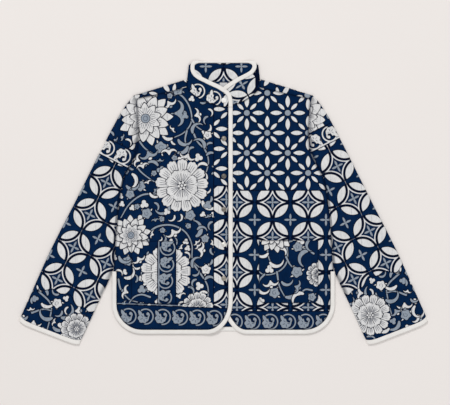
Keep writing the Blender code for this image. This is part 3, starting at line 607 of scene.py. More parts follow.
def stroke(p, points, wide, tip=0.35):
    """A stem through the points: the distance to a soft curve, slimmer towards its far end."""
    line = smooth(points, 4.0)
    start, run = line[:-1], np.diff(line, axis=0)
    offset = p[:, None, :] - start[None]
    share = np.clip((offset * run[None]).sum(-1) / (run**2).sum(-1)[None], 0.0, 1.0)
    away = np.linalg.norm(offset - share[..., None] * run[None], axis=-1)
    k = away.argmin(axis=1)
    pick = np.arange(len(p)), k
    t = (k + share[pick]) / len(run)
    return wide / 2 * (1 - (1 - tip) * t) - away[pick]


print("a petal of 40 by 10 mm is", round(float(lens(0.0, 0.0, 40.0, 10.0)), 2), "mm deep at its middle")

# %% [markdown]
# ### Laying ink on cloth
#
# A block printer lays one motif at a time. A cloth here holds the fields at its points, and each
# motif pushes down what lies under it, so that a narrow line of indigo stays open round it.

# %% Laying ink on cloth
INKS = ("cream", "grey", "vein")
RIM = 1.9  # the dark line round a motif


class Cloth:
    """The print's fields at the points p, given as across and down in millimetres."""

    def __init__(self, p):
        self.p = p
        self.held = {key: np.full(len(p), NONE) for key in (*INKS, "dark")}

    def near(self, middle, reach):
        """The points within a reach of a middle."""
        return np.nonzero(((self.p - middle) ** 2).sum(axis=1) < reach * reach)[0]

    def lay(self, ink, at, inside_it, gap=1.3, rim=RIM):
        """Print a motif over what is there: at are the points' numbers, or None for all."""
        at = slice(None) if at is None else at
        for key in INKS:
            self.held[key][at] = np.minimum(self.held[key][at], -inside_it - gap)
        self.held[ink][at] = np.maximum(self.held[ink][at], inside_it)
        self.held["dark"][at] = np.maximum(self.held["dark"][at], inside_it + rim)

    def mark(self, ink, at, inside_it):
        """Add to an ink without clearing round it."""
        self.held[ink][at] = np.maximum(self.held[ink][at], inside_it)

    def over(self, other, edge):
        """The other cloth's print where edge is above zero, with a narrow seam between."""
        for key, values in self.held.items():
            chosen = np.where(edge > 0, other.held[key], values)
            self.held[key] = chosen if key == "dark" else np.minimum(chosen, np.abs(edge) - 0.7)
        self.held["dark"] = np.maximum(self.held["dark"], 1.3 - np.abs(edge))
        return self


SWATCH = np.stack(np.meshgrid(np.arange(0, 200, 2.0), np.arange(0, 200, 2.0)), -1).reshape(-1, 2)


def inked(cloth):
    """How much of a cloth is cream or grey, in percent of its points."""
    return round(100 * float((np.maximum(cloth.held["cream"], cloth.held["grey"]) > 0).mean()))


print("a blank swatch of 200 mm is", inked(Cloth(SWATCH)), "% inked")

# %% [markdown]
# ### Star lattice and linked circles
#
# Two repeats fill whole panels. Stamping each petal would take long, so the plane is folded with
# abs and round onto one small cell, and one petal drawn there shows everywhere.

# %% Star lattice and linked circles
STAR = (49.0, 48.0)  # the lattice's pitch, across and down
STAR_DOT, STAR_PETAL, STAR_SMALL = 6.9, (28.5, 10.4), (21.5, 7.8)


def star_lattice(p, at, pitch=STAR):
    """Dots on every other knot, a petal on each edge, and two small ones on each dots' diagonal.

    The knots' lattice is folded onto the diamond round the nearest dot, then onto its quarter.
    """
    x, y = (p[:, 0] - at[0]) / pitch[0], (p[:, 1] - at[1]) / pitch[1]
    a, b = (x + y) / 2, (x - y) / 2
    a, b = a - np.round(a), b - np.round(b)
    size = sum(pitch) / 2
    x, y = np.abs(a + b) * size, np.abs(a - b) * size
    long, short = np.maximum(x, y), np.minimum(x, y)
    petal = lens(long - 0.565 * size, short, *STAR_PETAL)
    u, v = (x + y) / math.sqrt(2), (x - y) / math.sqrt(2)
    small = lens(u - 0.315 * math.sqrt(2) * size, v, *STAR_SMALL)
    cloth = Cloth(p)
    dot = disc(x, y, STAR_DOT)
    cloth.lay("cream", None, np.maximum(petal, small))
    cloth.lay("grey", None, dot)
    return cloth


CIRCLES = (85.4, 84.0)
CIRCLE_PETAL, CIRCLE_BAND, CIRCLE_LINE = (43.6, 17.0), 6.0, 2.7
CROSS_REACH, CROSS_LEAF = 14.4, (15.5, 4.9)


def linked_circles(p, at, pitch=CIRCLES, degrees=0.0):
    """Circles that overlap in petals, with a cross in each gap and every other gap outlined.

    The pattern is folded onto a quarter of the cell round an outlined gap. The petal there lies
    across the diagonal, and the outline is the petal's own edge, moved out by the dark band.
    """
    u, v = turned(p, at, degrees)
    x, y = u / pitch[0], v / pitch[1]
    x, y = np.abs(x - np.round(x)), np.abs(y - np.round(y))
    size = sum(pitch) / 2
    along_it, out = (x - y) * size / math.sqrt(2), (x + y - 0.5) * size / math.sqrt(2)
    petal = lens(along_it, out, *CIRCLE_PETAL)
    line = CIRCLE_LINE / 2 - np.abs(petal + CIRCLE_BAND + CIRCLE_LINE / 2)
    line = np.minimum(line, -out * 2)
    cloth = Cloth(p)
    cloth.lay("cream", None, np.maximum(petal, line), gap=0.0)
    cloth.held["dark"] = np.maximum(petal + RIM, np.minimum(petal + CIRCLE_BAND, -out * 2))
    cross = np.full(len(p), NONE)
    for gap_x, gap_y in ((x, y), (0.5 - x, 0.5 - y)):
        gx, gy = gap_x * size, gap_y * size
        long, short = np.maximum(gx, gy), np.minimum(gx, gy)
        cross = np.maximum(cross, lens(long - CROSS_REACH / 2 - 0.4, short, *CROSS_LEAF))
        cross = np.maximum(cross, 1.3 - np.hypot(gx, gy))
    cloth.mark("grey", slice(None), cross)
    cloth.mark("dark", slice(None), cross + 0.9)
    return cloth


for repeat in (star_lattice, linked_circles):
    print(repeat.__name__, "inks", inked(repeat(SWATCH, (0.0, 0.0))), "% of the swatch")

# %% [markdown]
# ### The running scroll
#
# The border is one curled leaf over and over. It is a lobed disc bitten by a round hollow, with a
# tendril round it, and the same leaf serves the hem, the collar, a pocket and the sleeves.

# %% The running scroll
def scroll_leaf(cloth, at, size, degrees, ink="grey", line="grey"):
    """A scalloped leaf whose tip curls into the hollow of a round tendril; size is its radius."""
    near = cloth.near(at, size * 1.6)
    u, v = turned(cloth.p[near], at, degrees)
    u, v = u / size, v / size
    tendril = ring(u - 0.05, v + 0.02, 0.92, 0.16, -165.0, 262.0)
    angle = np.arctan2(v - 0.14, u + 0.18)
    lower = ramp((np.cos(angle - 2.3) + 0.45) / 0.6)
    reach = 0.60 + 0.10 * lower * np.abs(np.sin(3.5 * angle)) + 0.06 * np.cos(2 * angle + 0.6)
    body = reach - np.hypot(u + 0.18, v - 0.14)
    body = np.minimum(body, np.hypot(u - 0.27, v + 0.36) - 0.45)
    root = lens(*turned(np.column_stack([u, v]), (-0.62, -0.42), 62.0), 0.95, 0.40)
    curl = np.maximum(disc(u - 0.30, v + 0.34, 0.17),
                      ring(u - 0.22, v + 0.22, 0.27, 0.15, -75.0, 130.0))
    leaf = np.maximum(np.maximum(body, root), curl)
    cloth.lay(line, near, tendril * size, gap=1.0, rim=1.3)
    cloth.lay(ink, near, leaf * size, gap=1.8)
    out = np.hypot(u + 0.18, v - 0.14)
    rays = 0.028 - np.abs(np.sin(2.5 * angle - 0.5)) * out / 2.5
    cloth.mark("vein", near, np.minimum(rays, np.minimum(out - 0.16, 0.46 - out)) * size)


def running_scroll(cloth, start, step, count, size, degrees, ink="grey", line="grey"):
    """The scroll's leaves, set out from a start by equal steps."""
    for k in range(count):
        scroll_leaf(cloth, np.asarray(start) + k * np.asarray(step), size, degrees, ink, line)


swatch = Cloth(SWATCH)
running_scroll(swatch, (0.0, 100.0), (42.4, 0.0), 5, 19.4, 0.0)
print("a row of scroll inks", inked(swatch), "% of the swatch")


# %% [markdown]
# ### Flowers
#
# A round flower is a ring of like petals, so its polar coordinates are folded onto one petal.
# Rings are laid from the outside in, each over the last, as petals overlap on a real flower.

# %% Flowers
def petals(u, v, count, turn=0.0):
    """Polar coordinates folded onto one petal: distance out, and -0.5 to 0.5 across the petal."""
    out = np.hypot(u, v)
    share = np.arctan2(v, u) / (2 * math.pi) * count + turn
    return out, share - np.round(share)


def chrysanthemum(cloth, at, size, turn=0.0, outer=13, inner=8):
    """Two rings of petals with lobed ends and fine rays, round a dark heart with seven dots."""
    near = cloth.near(at, size * 1.15)
    u, v = cloth.p[near, 0] - at[0], cloth.p[near, 1] - at[1]
    for count, reach, foot, lobes, swing in ((outer, 1.0, 0.60, 1.5, turn),
                                             (inner, 0.62, 0.18, 1.5, turn + 0.4)):
        out, share = petals(u, v, count, swing)
        wide = 2 * math.pi * out / count
        s = 2 * np.abs(share)
        end = size * (reach - 0.05 + 0.045 * np.abs(np.cos(lobes * math.pi * s)) - 0.17 * s**3)
        petal = np.minimum(end - out, (1 - s) * wide / 2 - 0.85)
        cloth.lay("cream", near, petal, gap=2.1)
        rays = np.minimum(np.abs(s - 0.42), s) * wide / 2
        span = np.minimum(out - foot * size, (foot + (reach - foot) * 0.55) * size - out)
        cloth.mark("vein", near, np.minimum(0.50 - rays, span * 0.2))
    out, share = petals(u, v, 6, turn)
    heart = 0.17 * size - out
    for key in INKS:
        cloth.held[key][near] = np.minimum(cloth.held[key][near], -heart)
    cloth.mark("dark", near, heart)
    bead = 0.047 * size - np.hypot(out - 0.12 * size, share * 2 * math.pi * out / 6)
    cloth.mark("cream", near, np.maximum(bead, 0.047 * size - out))


def pointed_flower(cloth, at, size, turn=0.0, count=9, heart="grey"):
    """Three rings of pointed petals with rays from their feet, round a coiled heart."""
    near = cloth.near(at, size * 1.2)
    u, v = cloth.p[near, 0] - at[0], cloth.p[near, 1] - at[1]
    for reach, foot, wide, swing in ((1.0, 0.26, 0.42, turn), (0.86, 0.26, 0.40, turn + 0.5),
                                     (0.56, 0.12, 0.30, turn + 0.25)):
        out, share = petals(u, v, count, swing)
        aside = share * 2 * math.pi * out / count
        middle, long = (reach + foot) / 2 * size, (reach - foot) * size * 1.3
        petal = lens(out - middle, aside, long, wide * size)
        cloth.lay("cream", near, petal, gap=2.1)
        rays = np.minimum(np.abs(np.abs(aside) - 0.075 * size), np.abs(aside))
        rays = np.minimum(0.5 - rays, petal - 1.2)
        cloth.mark("vein", near, np.minimum(rays, (0.74 * reach * size - out) * 0.3))
    out = np.hypot(u, v)
    cloth.lay(heart, near, 0.17 * size - out, gap=1.4)
    cloth.mark("vein", near, 0.45 - np.abs(out - 0.09 * size))


for flower in (chrysanthemum, pointed_flower):
    swatch = Cloth(SWATCH)
    flower(swatch, (100.0, 100.0), 60.0)
    print(flower.__name__, "inks", inked(swatch), "% of the swatch")


# %% [markdown]
# ### Leaves, buds and blossoms
#
# All the small motifs are made of discs and of one horn, a stroke that curls and tapers. Their
# sizes are in millimetres, so that a row of a table reads like a note on a paper pattern.

# %% Leaves, buds and blossoms
LEAF_WIDE, BUD_GROWN, BLOSSOM_GROWN = 0.60, 1.04, 1.04  # how full the leaves and flowers are


def local(cloth, at, degrees, reach):
    """The points near a motif, and their places along and across its direction."""
    near = cloth.near(at, reach)
    return near, *turned(cloth.p[near], at, degrees)


def horns(u, v, *form):
    """Two like horns, one to each side of a stem."""
    return np.maximum(horn(u, v, *form), horn(u, -v, *form))


def curled_leaf(cloth, at, degrees, size, hand=1.0, ink="grey"):
    """One horn that leaves its root along the direction and curls to one side."""
    near, u, v = local(cloth, at, degrees, size * 2.4)
    leaf = horn(u, v * hand, (0.0, size), size, -90.0, 150.0, size * LEAF_WIDE)
    cloth.lay(ink, near, leaf, gap=1.9)
    cloth.mark("vein", near, np.minimum(0.35 - np.abs(leaf - 0.28 * size), 0.2 * size - np.abs(u)))


def bud(cloth, at, degrees, size, ink="cream", tip="grey"):
    """A pair of horns that part from a stem, with a trefoil between them."""
    size = size * BUD_GROWN
    near, u, v = local(cloth, at, degrees, size * 2.2)
    pair = horns(u / size, v / size, (0.15, 0.62), 0.62, -90, 165, 0.52) * size
    heads = [disc(u - x * size, v - y * size, r * size)
             for x, y, r in ((0.95, 0.0, 0.25), (0.68, 0.22, 0.17), (0.68, -0.22, 0.17))]
    cloth.lay(tip, near, np.maximum.reduce(heads), gap=1.7)
    cloth.lay(ink, near, pair, gap=1.8)


def blossom(cloth, at, degrees, size, ink="grey", leaf="cream"):
    """A small five-lobed flower with a coiled heart, backed by two horns."""
    size = size * BLOSSOM_GROWN
    near, u, v = local(cloth, at, degrees, size * 2.8)
    pair = horns(u / size + 1.1, v / size, (0.3, 1.0), 1.0, -100, 120, 0.78) * size
    cloth.lay(leaf, near, pair, gap=1.8)
    out, share = petals(u, v, 5, 0.5)
    cloth.lay(ink, near, size * (0.84 + 0.10 * np.cos(2 * math.pi * share)) - out, gap=1.9)
    angle = np.arctan2(v, u)
    coil = np.abs(out / size - 0.14 - 0.30 * (angle + math.pi) / (2 * math.pi))
    cloth.mark("vein", near, np.minimum(0.42 - coil * size, size * 0.5 - out))


def beads(cloth, at, size, degrees=0.0, ink="cream"):
    """Three berries in a triangle."""
    near, u, v = local(cloth, at, degrees, size * 3)
    three = [disc(u - size * 1.05 * math.cos(a), v - size * 1.05 * math.sin(a), size)
             for a in (0.0, 2.1, 4.2)]
    cloth.lay(ink, near, np.maximum.reduce(three), gap=0.9)


for motif in (curled_leaf, bud, blossom):
    swatch = Cloth(SWATCH)
    motif(swatch, (100.0, 100.0), 0.0, 30.0)
    print(motif.__name__, "of 30 mm inks", inked(swatch), "% of the swatch")


def vine(cloth, points, wide=4.3, ink="grey", tip=0.5):
    """A stem over the field; its points are across and down."""
    points = np.asarray(points, float)
    middle = points.mean(axis=0)
    near = cloth.near(middle, np.linalg.norm(points - middle, axis=1).max() + 12.0)
    if len(near):
        cloth.lay(ink, near, in_chunks(cloth.p[near], lambda p: stroke(p, points, wide, tip)), gap=1.6)

# %% [markdown]
# ### The flower field
#
# Chrysanthemums and vines cover the right front, the sleeves' heads and cuffs, and one pocket. The
# layout is a short table: each row names a motif and gives its place, its turn and its size.

# %% Layout of the flower field
MOTIFS = {"mum": chrysanthemum, "star": pointed_flower, "leaf": curled_leaf, "bud": bud,
          "blossom": blossom, "beads": beads}

FIELD_VINES = (
    ((-128, 72), (-100, 84), (-81, 112), (-77, 146), (-95, 172), (-124, 186)),
    ((-158, 128), (-140, 128), (-118, 126)),
    ((-76, 140), (-66, 156), (-52, 166)),
    ((-88, 168), (-92, 190), (-86, 208)),
    ((-74, 168), (-62, 194), (-44, 214), (-36, 240), (-42, 268), (-54, 284)),
    ((-232, 236), (-212, 250), (-196, 268), (-172, 286), (-160, 292)),
    ((-162, 318), (-196, 322), (-226, 344), (-246, 376)),
    ((-188, 420), (-160, 398), (-124, 394), (-92, 410), (-76, 440), (-74, 478), (-52, 500)),
    ((-72, 488), (-54, 512), (-38, 540), (-38, 572), (-46, 590)),
    ((-252, 524), (-246, 548), (-226, 572), (-206, 578)),
    ((-176, 566), (-196, 560), (-214, 566), (-226, 580)),
    ((-206, 186), (-190, 208), (-170, 222)),
)
# motif, across, down, direction, size, and the hand or ink where it isn't the usual one
FIELD_MOTIFS = (
    ("bud", -118, 126, 0, 24, "grey", "grey"), ("leaf", -124, 186, 150, 15, 1, "cream"),
    ("blossom", -150, 208, 160, 15), ("leaf", -108, 190, 70, 17, -1),
    ("bud", -52, 168, 35, 19, "cream", "cream"), ("blossom", -38, 178, 60, 10, "cream", "cream"),
    ("leaf", -86, 206, 100, 18, 1), ("bud", -84, 222, 110, 15, "cream", "cream"),
    ("leaf", -74, 172, 250, 16, 1), ("leaf", -46, 208, 285, 16, -1), ("leaf", -40, 226, 300, 12, 1),
    ("beads", -60, 232, 5, 10), ("leaf", -40, 250, 225, 14, -1, "cream"), ("bud", -130, 226, 265, 15),
    ("beads", -102, 236, 4, 80), ("bud", -178, 88, 20, 17), ("bud", -134, 96, 60, 15),
    ("blossom", -110, 70, 300, 13, "grey", "grey"), ("blossom", -176, 74, 200, 14),
    ("bud", -70, 132, 345, 14, "cream", "cream"), ("beads", -92, 132, 4, 30, "grey"),
    ("leaf", -214, 200, 100, 15, 1, "cream"), ("bud", -182, 216, 70, 18, "grey", "cream"),
    ("bud", -200, 240, 200, 13, "cream", "cream"), ("leaf", -158, 250, 245, 15, -1),
    ("beads", -150, 262, 5, 60, "grey"), ("bud", -192, 258, 250, 12, "cream", "cream"),
    ("blossom", -200, 300, 120, 13), ("leaf", -218, 272, 30, 18, 1, "cream"),
    ("leaf", -232, 300, 60, 16, -1), ("leaf", -176, 318, 70, 13, -1, "cream"),
    ("blossom", -224, 320, 200, 11, "grey", "grey"), ("beads", -190, 344, 5, 20),
    ("blossom", -184, 366, 40, 13), ("leaf", -130, 350, 95, 18, 1), ("beads", -136, 362, 4, 10),
    ("blossom", -80, 370, 330, 13), ("leaf", -50, 338, 80, 20, -1, "cream"),
    ("beads", -38, 346, 5, 40, "grey"), ("leaf", -64, 420, 330, 20, -1), ("leaf", -62, 404, 300, 12, 1),
    ("blossom", -44, 426, 20, 10), ("bud", -124, 404, 60, 16, "cream", "cream"),
    ("bud", -62, 452, 10, 15, "cream", "cream"), ("blossom", -42, 500, 20, 12, "cream", "cream"),
    ("leaf", -74, 494, 240, 15, 1), ("leaf", -44, 524, 300, 13, 1), ("beads", -58, 540, 5, 0),
    ("leaf", -40, 556, 210, 14, -1, "cream"), ("leaf", -180, 428, 90, 12, 1),
    ("beads", -200, 380, 5, 30), ("blossom", -230, 480, 100, 12),
    ("bud", -206, 470, 60, 13, "cream", "cream"), ("leaf", -250, 470, 80, 16, -1),
    ("leaf", -236, 520, 20, 16, -1, "cream"), ("beads", -196, 548, 5, 30, "grey"),
    ("leaf", -190, 536, 330, 16, 1, "cream"), ("bud", -228, 556, 200, 14), ("beads", -176, 590, 4, 0),
    ("bud", -104, 570, 250, 13, "cream", "cream"), ("leaf", -250, 424, 260, 15, 1, "cream"),
    ("leaf", -56, 292, 10, 14, -1, "cream"), ("bud", -48, 310, 60, 13),
)
FIELD_FLOWERS = (
    ("star", -187, 138, 60, 0.1), ("mum", -100, 299, 64, 0.2), ("star", -222, 418, 44, 0.3),
    ("mum", -62, 592, 38, 0.35),
)


# %% Drawing a layout, and filling its gaps
FREE = 7.0  # a gap is filled where this much cloth, or more, is free round its middle
SPRIGS = (("leaf", 10.5, 1), ("bud", 8.0), ("leaf", 10.0, -1),
          ("blossom", 7.0), ("leaf", 9.5, 1, "cream"), ("bud", 7.5, "grey", "grey"),
          ("leaf", 10.5, -1), ("beads", 3.6, 40.0))


def fill_in(low, high, vines, motifs, flowers=(), seed=5, spacing=9.0):
    """Sprigs for the gaps of a layout, as more rows for its table.

    Places are tried on a jittered grid. A place is taken where the print is farther than FREE.
    """
    random = np.random.default_rng(seed)
    across, down = np.meshgrid(np.arange(low[0], high[0], spacing), np.arange(low[1], high[1], spacing))
    places = np.column_stack([across.ravel(), down.ravel()])
    places = random.permutation(places + random.uniform(-3.0, 3.0, places.shape))
    tried = draw(Cloth(places), vines, motifs, flowers)
    rows = []
    for k in range(len(places)):
        if tried.held["dark"][k] < -FREE:
            kind, size, *rest = SPRIGS[len(rows) % len(SPRIGS)]
            row = (kind, *places[k], float(random.uniform(0.0, 360.0)), size, *rest)
            row = (kind, *places[k], size, *rest) if kind == "beads" else row
            rows.append(row)
            draw(tried, (), (row,))
    return tuple(rows)


def draw(cloth, vines, motifs, flowers=(), shift=(0.0, 0.0)):
    """Stems first, then leaves and buds, then the large flowers on top."""
    shift = np.asarray(shift, float)
    for points in vines:
        vine(cloth, np.asarray(points, float) + shift)
    for kind, across, down, degrees, size, *rest in motifs:
        at = (across + shift[0], down + shift[1])
        if kind == "beads":  # its size comes before its turn
            beads(cloth, at, degrees, size, *rest)
        else:
            MOTIFS[kind](cloth, at, degrees, size, *rest)
    for kind, across, down, size, turn in flowers:
        MOTIFS[kind](cloth, (across + shift[0], down + shift[1]), size, turn)
    return cloth


FIELD_SPRIGS = fill_in((-290, 55), (-28, 600), FIELD_VINES, FIELD_MOTIFS, FIELD_FLOWERS)
print("sprigs that fill the field's gaps:", len(FIELD_SPRIGS))


def flower_field(p):
    return draw(Cloth(p), FIELD_VINES, FIELD_SPRIGS + FIELD_MOTIFS, FIELD_FLOWERS)


# %% [markdown]
# ### The fronts' prints
#
# The right front carries the flower field with a strip at its edge, the left one stars over
# circles. The joins between prints are straight lines: the sign of a distance picks the side.

# %% The fronts' prints
# names that end in STAR and CIRCLES are the places of a dot, or of an outlined gap's middle
PLACKET = -23.5  # across: the right front's edge strip starts here
STRIP_STAR, STRIP_CIRCLES, STRIP_JOIN = (-32.2, 163.2), (7.0, 332.4), 300.0
LEFT_STAR, LEFT_CIRCLES, LEFT_JOIN = (105.0, 76.7), (117.6, 339.1), 310.8
SCROLL = 19.4  # radius of a leaf of the hem's scroll
HEM_SLOPE, HEM_INNER = 0.035, -30.0  # the right hem's band runs off level from here
HEM_LINE, HEM_LINE_WIDE = 2.6, 0.8  # a grey line above it, and half its width
HEM_SCROLL = {"right": ((-270.0, 611.5), (41.2, 0.95), 8, 592.0),
              "left": ((25.8, 626.0), (42.6, 0.0), 6, 600.0)}


def print_front(p, side):
    if side == "right":
        cloth = flower_field(p)
        strip = star_lattice(p, STRIP_STAR, (49.0, 47.5))
        strip.over(linked_circles(p, STRIP_CIRCLES), p[:, 1] - STRIP_JOIN)
        cloth.over(strip, p[:, 0] - PLACKET)
    else:
        cloth = star_lattice(p, LEFT_STAR)
        cloth.over(linked_circles(p, LEFT_CIRCLES), p[:, 1] - LEFT_JOIN)
    *leaves, top = HEM_SCROLL[side]
    band = Cloth(p)
    running_scroll(band, *leaves, SCROLL, 0.0)
    edge = p[:, 1] - top
    if side == "right":
        edge = edge - HEM_SLOPE * (p[:, 0] - HEM_INNER)
    cloth.over(band, edge)
    if side == "right":
        line = HEM_LINE_WIDE - np.abs(edge + HEM_LINE)
        cloth.mark("grey", slice(None), np.minimum(line, HEM_INNER - p[:, 0] * 0.5))
    return finished(cloth, p)


def finished(cloth, p):
    """The print's fields and the two that place the quilting's stitches, in rows and along them."""
    return {**cloth.held, "row": p[:, 0] / ROW, "run": p[:, 1]}


for side in TURN:
    print("the", side, "hem's scroll has", HEM_SCROLL[side][2], "leaves")

# %% [markdown]
# ### The pockets' prints
#
# One pocket goes on with the front's own flowers, under a strip of upright scroll. The other has
# vines of its own. Both take the front's coordinates, so a motif can run on across their edges.

# %% The pockets' prints
POCKET_SCROLL = ((-134.5, 447.5), (-2.6, 39.6), 4, 18.6)
POCKET_STRIP = (-158.0, -114.0)
STRIP_LINE, STRIP_LINE_WIDE, STRIP_LINE_END = 3.0, 1.1, 590.0  # a grey line along its left edge
POCKET_MUM = ((-137.0, 506.0), 62.0, 0.1)
POCKET_STAR, POCKET_SIDE_MUM = ((122.0, 414.0), 42.0, 0.0), ((228.0, 512.0), 30.0, 0.2)
POCKET_VINES = (
    ((141, 418), (152, 448), (150, 486), (126, 508), (96, 512), (76, 496)),
    ((106, 434), (106, 462), (112, 482)), ((150, 470), (158, 486), (168, 498)),
    ((128, 506), (134, 540), (146, 564)), ((98, 512), (86, 526), (82, 548)),
    ((216, 462), (196, 450), (176, 452)), ((212, 550), (196, 548), (182, 560)),
)
POCKET_MOTIFS = (
    ("blossom", 178, 446, 80, 12), ("leaf", 112, 484, 60, 17, -1, "cream"),
    ("leaf", 106, 462, 120, 15, 1, "cream"), ("bud", 132, 452, 330, 16), ("blossom", 176, 506, 60, 14),
    ("leaf", 200, 456, 175, 20, -1), ("leaf", 150, 566, 20, 18, -1), ("blossom", 122, 556, 120, 13),
    ("leaf", 84, 548, 70, 14, -1, "cream"), ("beads", 110, 500, 5, 30),
    ("bud", 112, 526, 80, 15, "cream", "cream"), ("leaf", 190, 558, 200, 18, -1, "cream"),
    ("blossom", 212, 566, 40, 10, "grey", "grey"), ("leaf", 140, 530, 60, 14, -1),
    ("bud", 170, 540, 20, 13, "grey", "grey"), ("beads", 186, 430, 5, 60),
    ("leaf", 78, 470, 70, 12, 1, "cream"), ("beads", 158, 430, 4, 0, "grey"),
    ("leaf", 206, 430, 150, 14, -1), ("beads", 90, 575, 4, 0),
)


def print_pocket(p, side):
    cloth = Cloth(p)
    if side == "right":
        cloth = flower_field(p)
        chrysanthemum(cloth, *POCKET_MUM)
        strip = Cloth(p)
        start, step, count, size = POCKET_SCROLL
        running_scroll(strip, start, step, count, size, 90.0)
        low, high = POCKET_STRIP
        edge = np.minimum(p[:, 0] - low, high - p[:, 0])
        cloth.over(strip, edge)
        line = STRIP_LINE_WIDE - np.abs(p[:, 0] - low - STRIP_LINE)
        cloth.mark("grey", slice(None), np.minimum(line, STRIP_LINE_END - p[:, 1]))
    else:
        draw(cloth, POCKET_VINES, POCKET_MOTIFS)
        pointed_flower(cloth, *POCKET_STAR)
        chrysanthemum(cloth, *POCKET_SIDE_MUM)
    return finished(cloth, p)


print("a pocket's own print has", len(POCKET_MOTIFS), "motifs on", len(POCKET_VINES), "vines")

# %% [markdown]
# ### The sleeves' prints
#
# A sleeve is cut along its own grain, which hangs at an angle as it lies. Its print is drawn in
# coordinates along and across that grain: flowers, a scroll, circles, and flowers at the cuff.

# %% The sleeves' prints
GRAIN = (0.448, 0.894)  # down the sleeve, as across and down
# along the sleeve: the scroll's lower edge and the cuff's flowers; the circles' place; the scroll's
# start; the cuff's large flower and its size
SLEEVE_PRINT = {"right": (333.0, 676.0, (559.9, -121.3), -157.0, (56.5, -27.0), 38.0),
                "left": (291.0, 628.0, (521.4, -130.9), -150.0, (74.5, -41.0), 50.0)}
SLEEVE_CIRCLES = (86.6, 87.0)
SLEEVE_SCROLL, SLEEVE_SCROLLS, SLEEVE_BAND = 19.0, 14, 43.0  # leaf's radius, how many, band's width
BAND_MIDDLE, BAND_LEAD = 21.0, 86.0  # the leaves' line above the band's edge, and their start
BAND_LINE, BAND_LINE_WIDE = 3.2, 1.5  # the pale line along the band, and half its width
CUFF_VINES = (
    ((16, -150), (30, -110), (60, -96), (96, -88)), ((40, -60), (26, -30), (52, -8), (84, -16)),
    ((70, -140), (50, -120), (44, -100)),
)
CUFF_MOTIFS = (
    ("leaf", 40, -128, 60, 16, 1, "cream"), ("blossom", 22, -96, 200, 12, "cream", "cream"),
    ("leaf", 60, -92, 330, 18, -1), ("bud", 84, -128, 20, 15), ("leaf", 48, -70, 100, 20, 1),
    ("beads", 66, -62, 5, 30), ("leaf", 78, -78, 60, 16, 1), ("bud", 20, -50, 120, 14),
    ("leaf", 30, -20, 40, 16, -1, "cream"), ("blossom", 54, 10, 300, 11),
    ("bud", 88, -100, 350, 13, "grey", "cream"), ("beads", 36, -148, 4, 0, "grey"),
    ("leaf", 14, -126, 200, 13, 1), ("leaf", 90, -54, 160, 14, -1, "cream"),
    ("blossom", 112, -118, 340, 13), ("leaf", 120, -96, 20, 17, 1), ("bud", 124, -142, 350, 15),
    ("leaf", 104, -146, 70, 15, -1, "cream"), ("leaf", 124, -66, 60, 16, 1, "cream"),
    ("beads", 112, -84, 4, 0, "grey"),
)


# %% A sleeve's print along its grain
CUFF_WAVES = ((7.0, 19.0), (4.0, 7.0))  # height and pitch of the waves where the flowers begin
CUFF_SPRIGS = fill_in((4, -175), (145, 40), CUFF_VINES, CUFF_MOTIFS)
print("sprigs that fill a cuff's gaps:", len(CUFF_SPRIGS))


def sleeve_frame(p, side):
    """Along the grain and across it, towards the body, from points across and down."""
    x = p[:, 0] * TURN[side]
    return np.column_stack([x * GRAIN[0] + p[:, 1] * GRAIN[1], p[:, 1] * GRAIN[0] - x * GRAIN[1]])


def print_sleeve(p, side):
    scroll, cuff, at, start, flower, size = SLEEVE_PRINT[side]
    q = sleeve_frame(p, side)
    mirrored = p * (TURN[side] * TURN["right"], 1.0)
    cloth = flower_field(mirrored)
    band = Cloth(q)
    running_scroll(band, (scroll - BAND_MIDDLE, start - BAND_LEAD), (0.0, SLEEVE_BAND),
                   SLEEVE_SCROLLS, SLEEVE_SCROLL, 90.0, "cream", "cream")
    band.mark("cream", slice(None), BAND_LINE_WIDE - np.abs(q[:, 0] - scroll + BAND_LINE))
    cloth.over(band, q[:, 0] - scroll + SLEEVE_BAND)
    cloth.over(linked_circles(q, at, SLEEVE_CIRCLES), q[:, 0] - scroll)
    flowers = draw(Cloth(q), CUFF_VINES, CUFF_SPRIGS + CUFF_MOTIFS, (), (cuff, 0.0))
    chrysanthemum(flowers, (cuff + flower[0], flower[1]), size, 0.1)
    ragged = sum(high * np.sin(q[:, 1] / pitch) for high, pitch in CUFF_WAVES)
    cloth.over(flowers, q[:, 0] - cuff + ragged)
    return finished(cloth, p)


# %% [markdown]
# ### The collar's, the back's and the inside's prints
#
# The collar has scroll on one half and circles on the other. The back, which the photograph
# doesn't show, is laid out plainly in the same cloth.

# %% The collar's, the back's and the inside's prints
INSIDE_CIRCLES = (0.2, 55.2)
COLLAR_CIRCLES, COLLAR_PITCH, COLLAR_TURN = (91.8, 63.3), (76.6, 58.0), -30.0
COLLAR_PLAIN = 76.0  # across: no ink past here
COLLAR_LEAVES, COLLAR_LEAF = (((-63.0, 73.0), 10.0), ((-24.0, 90.0), 35.0)), 18.0
COLLAR_BUD = ((-86.0, 78.0), 150.0, 9.0)
BACK_SCROLL = ((-276.0, 622.0), (42.4, 0.0), 14)


def print_inside(p):
    """The same linked circles behind the neck, with an outlined gap at the centre."""
    return finished(linked_circles(p, INSIDE_CIRCLES), p)


def print_collar(p):
    right = Cloth(p)
    for at, degrees in COLLAR_LEAVES:
        scroll_leaf(right, at, COLLAR_LEAF, degrees, "cream", "cream")
    bud(right, *COLLAR_BUD, "cream", "cream")
    left = linked_circles(p, COLLAR_CIRCLES, COLLAR_PITCH, COLLAR_TURN)
    for key in INKS:  # plain cloth where the collar turns over at its left side
        left.held[key] = np.minimum(left.held[key], COLLAR_PLAIN - p[:, 0])
    right.over(left, p[:, 0])
    return finished(right, p)


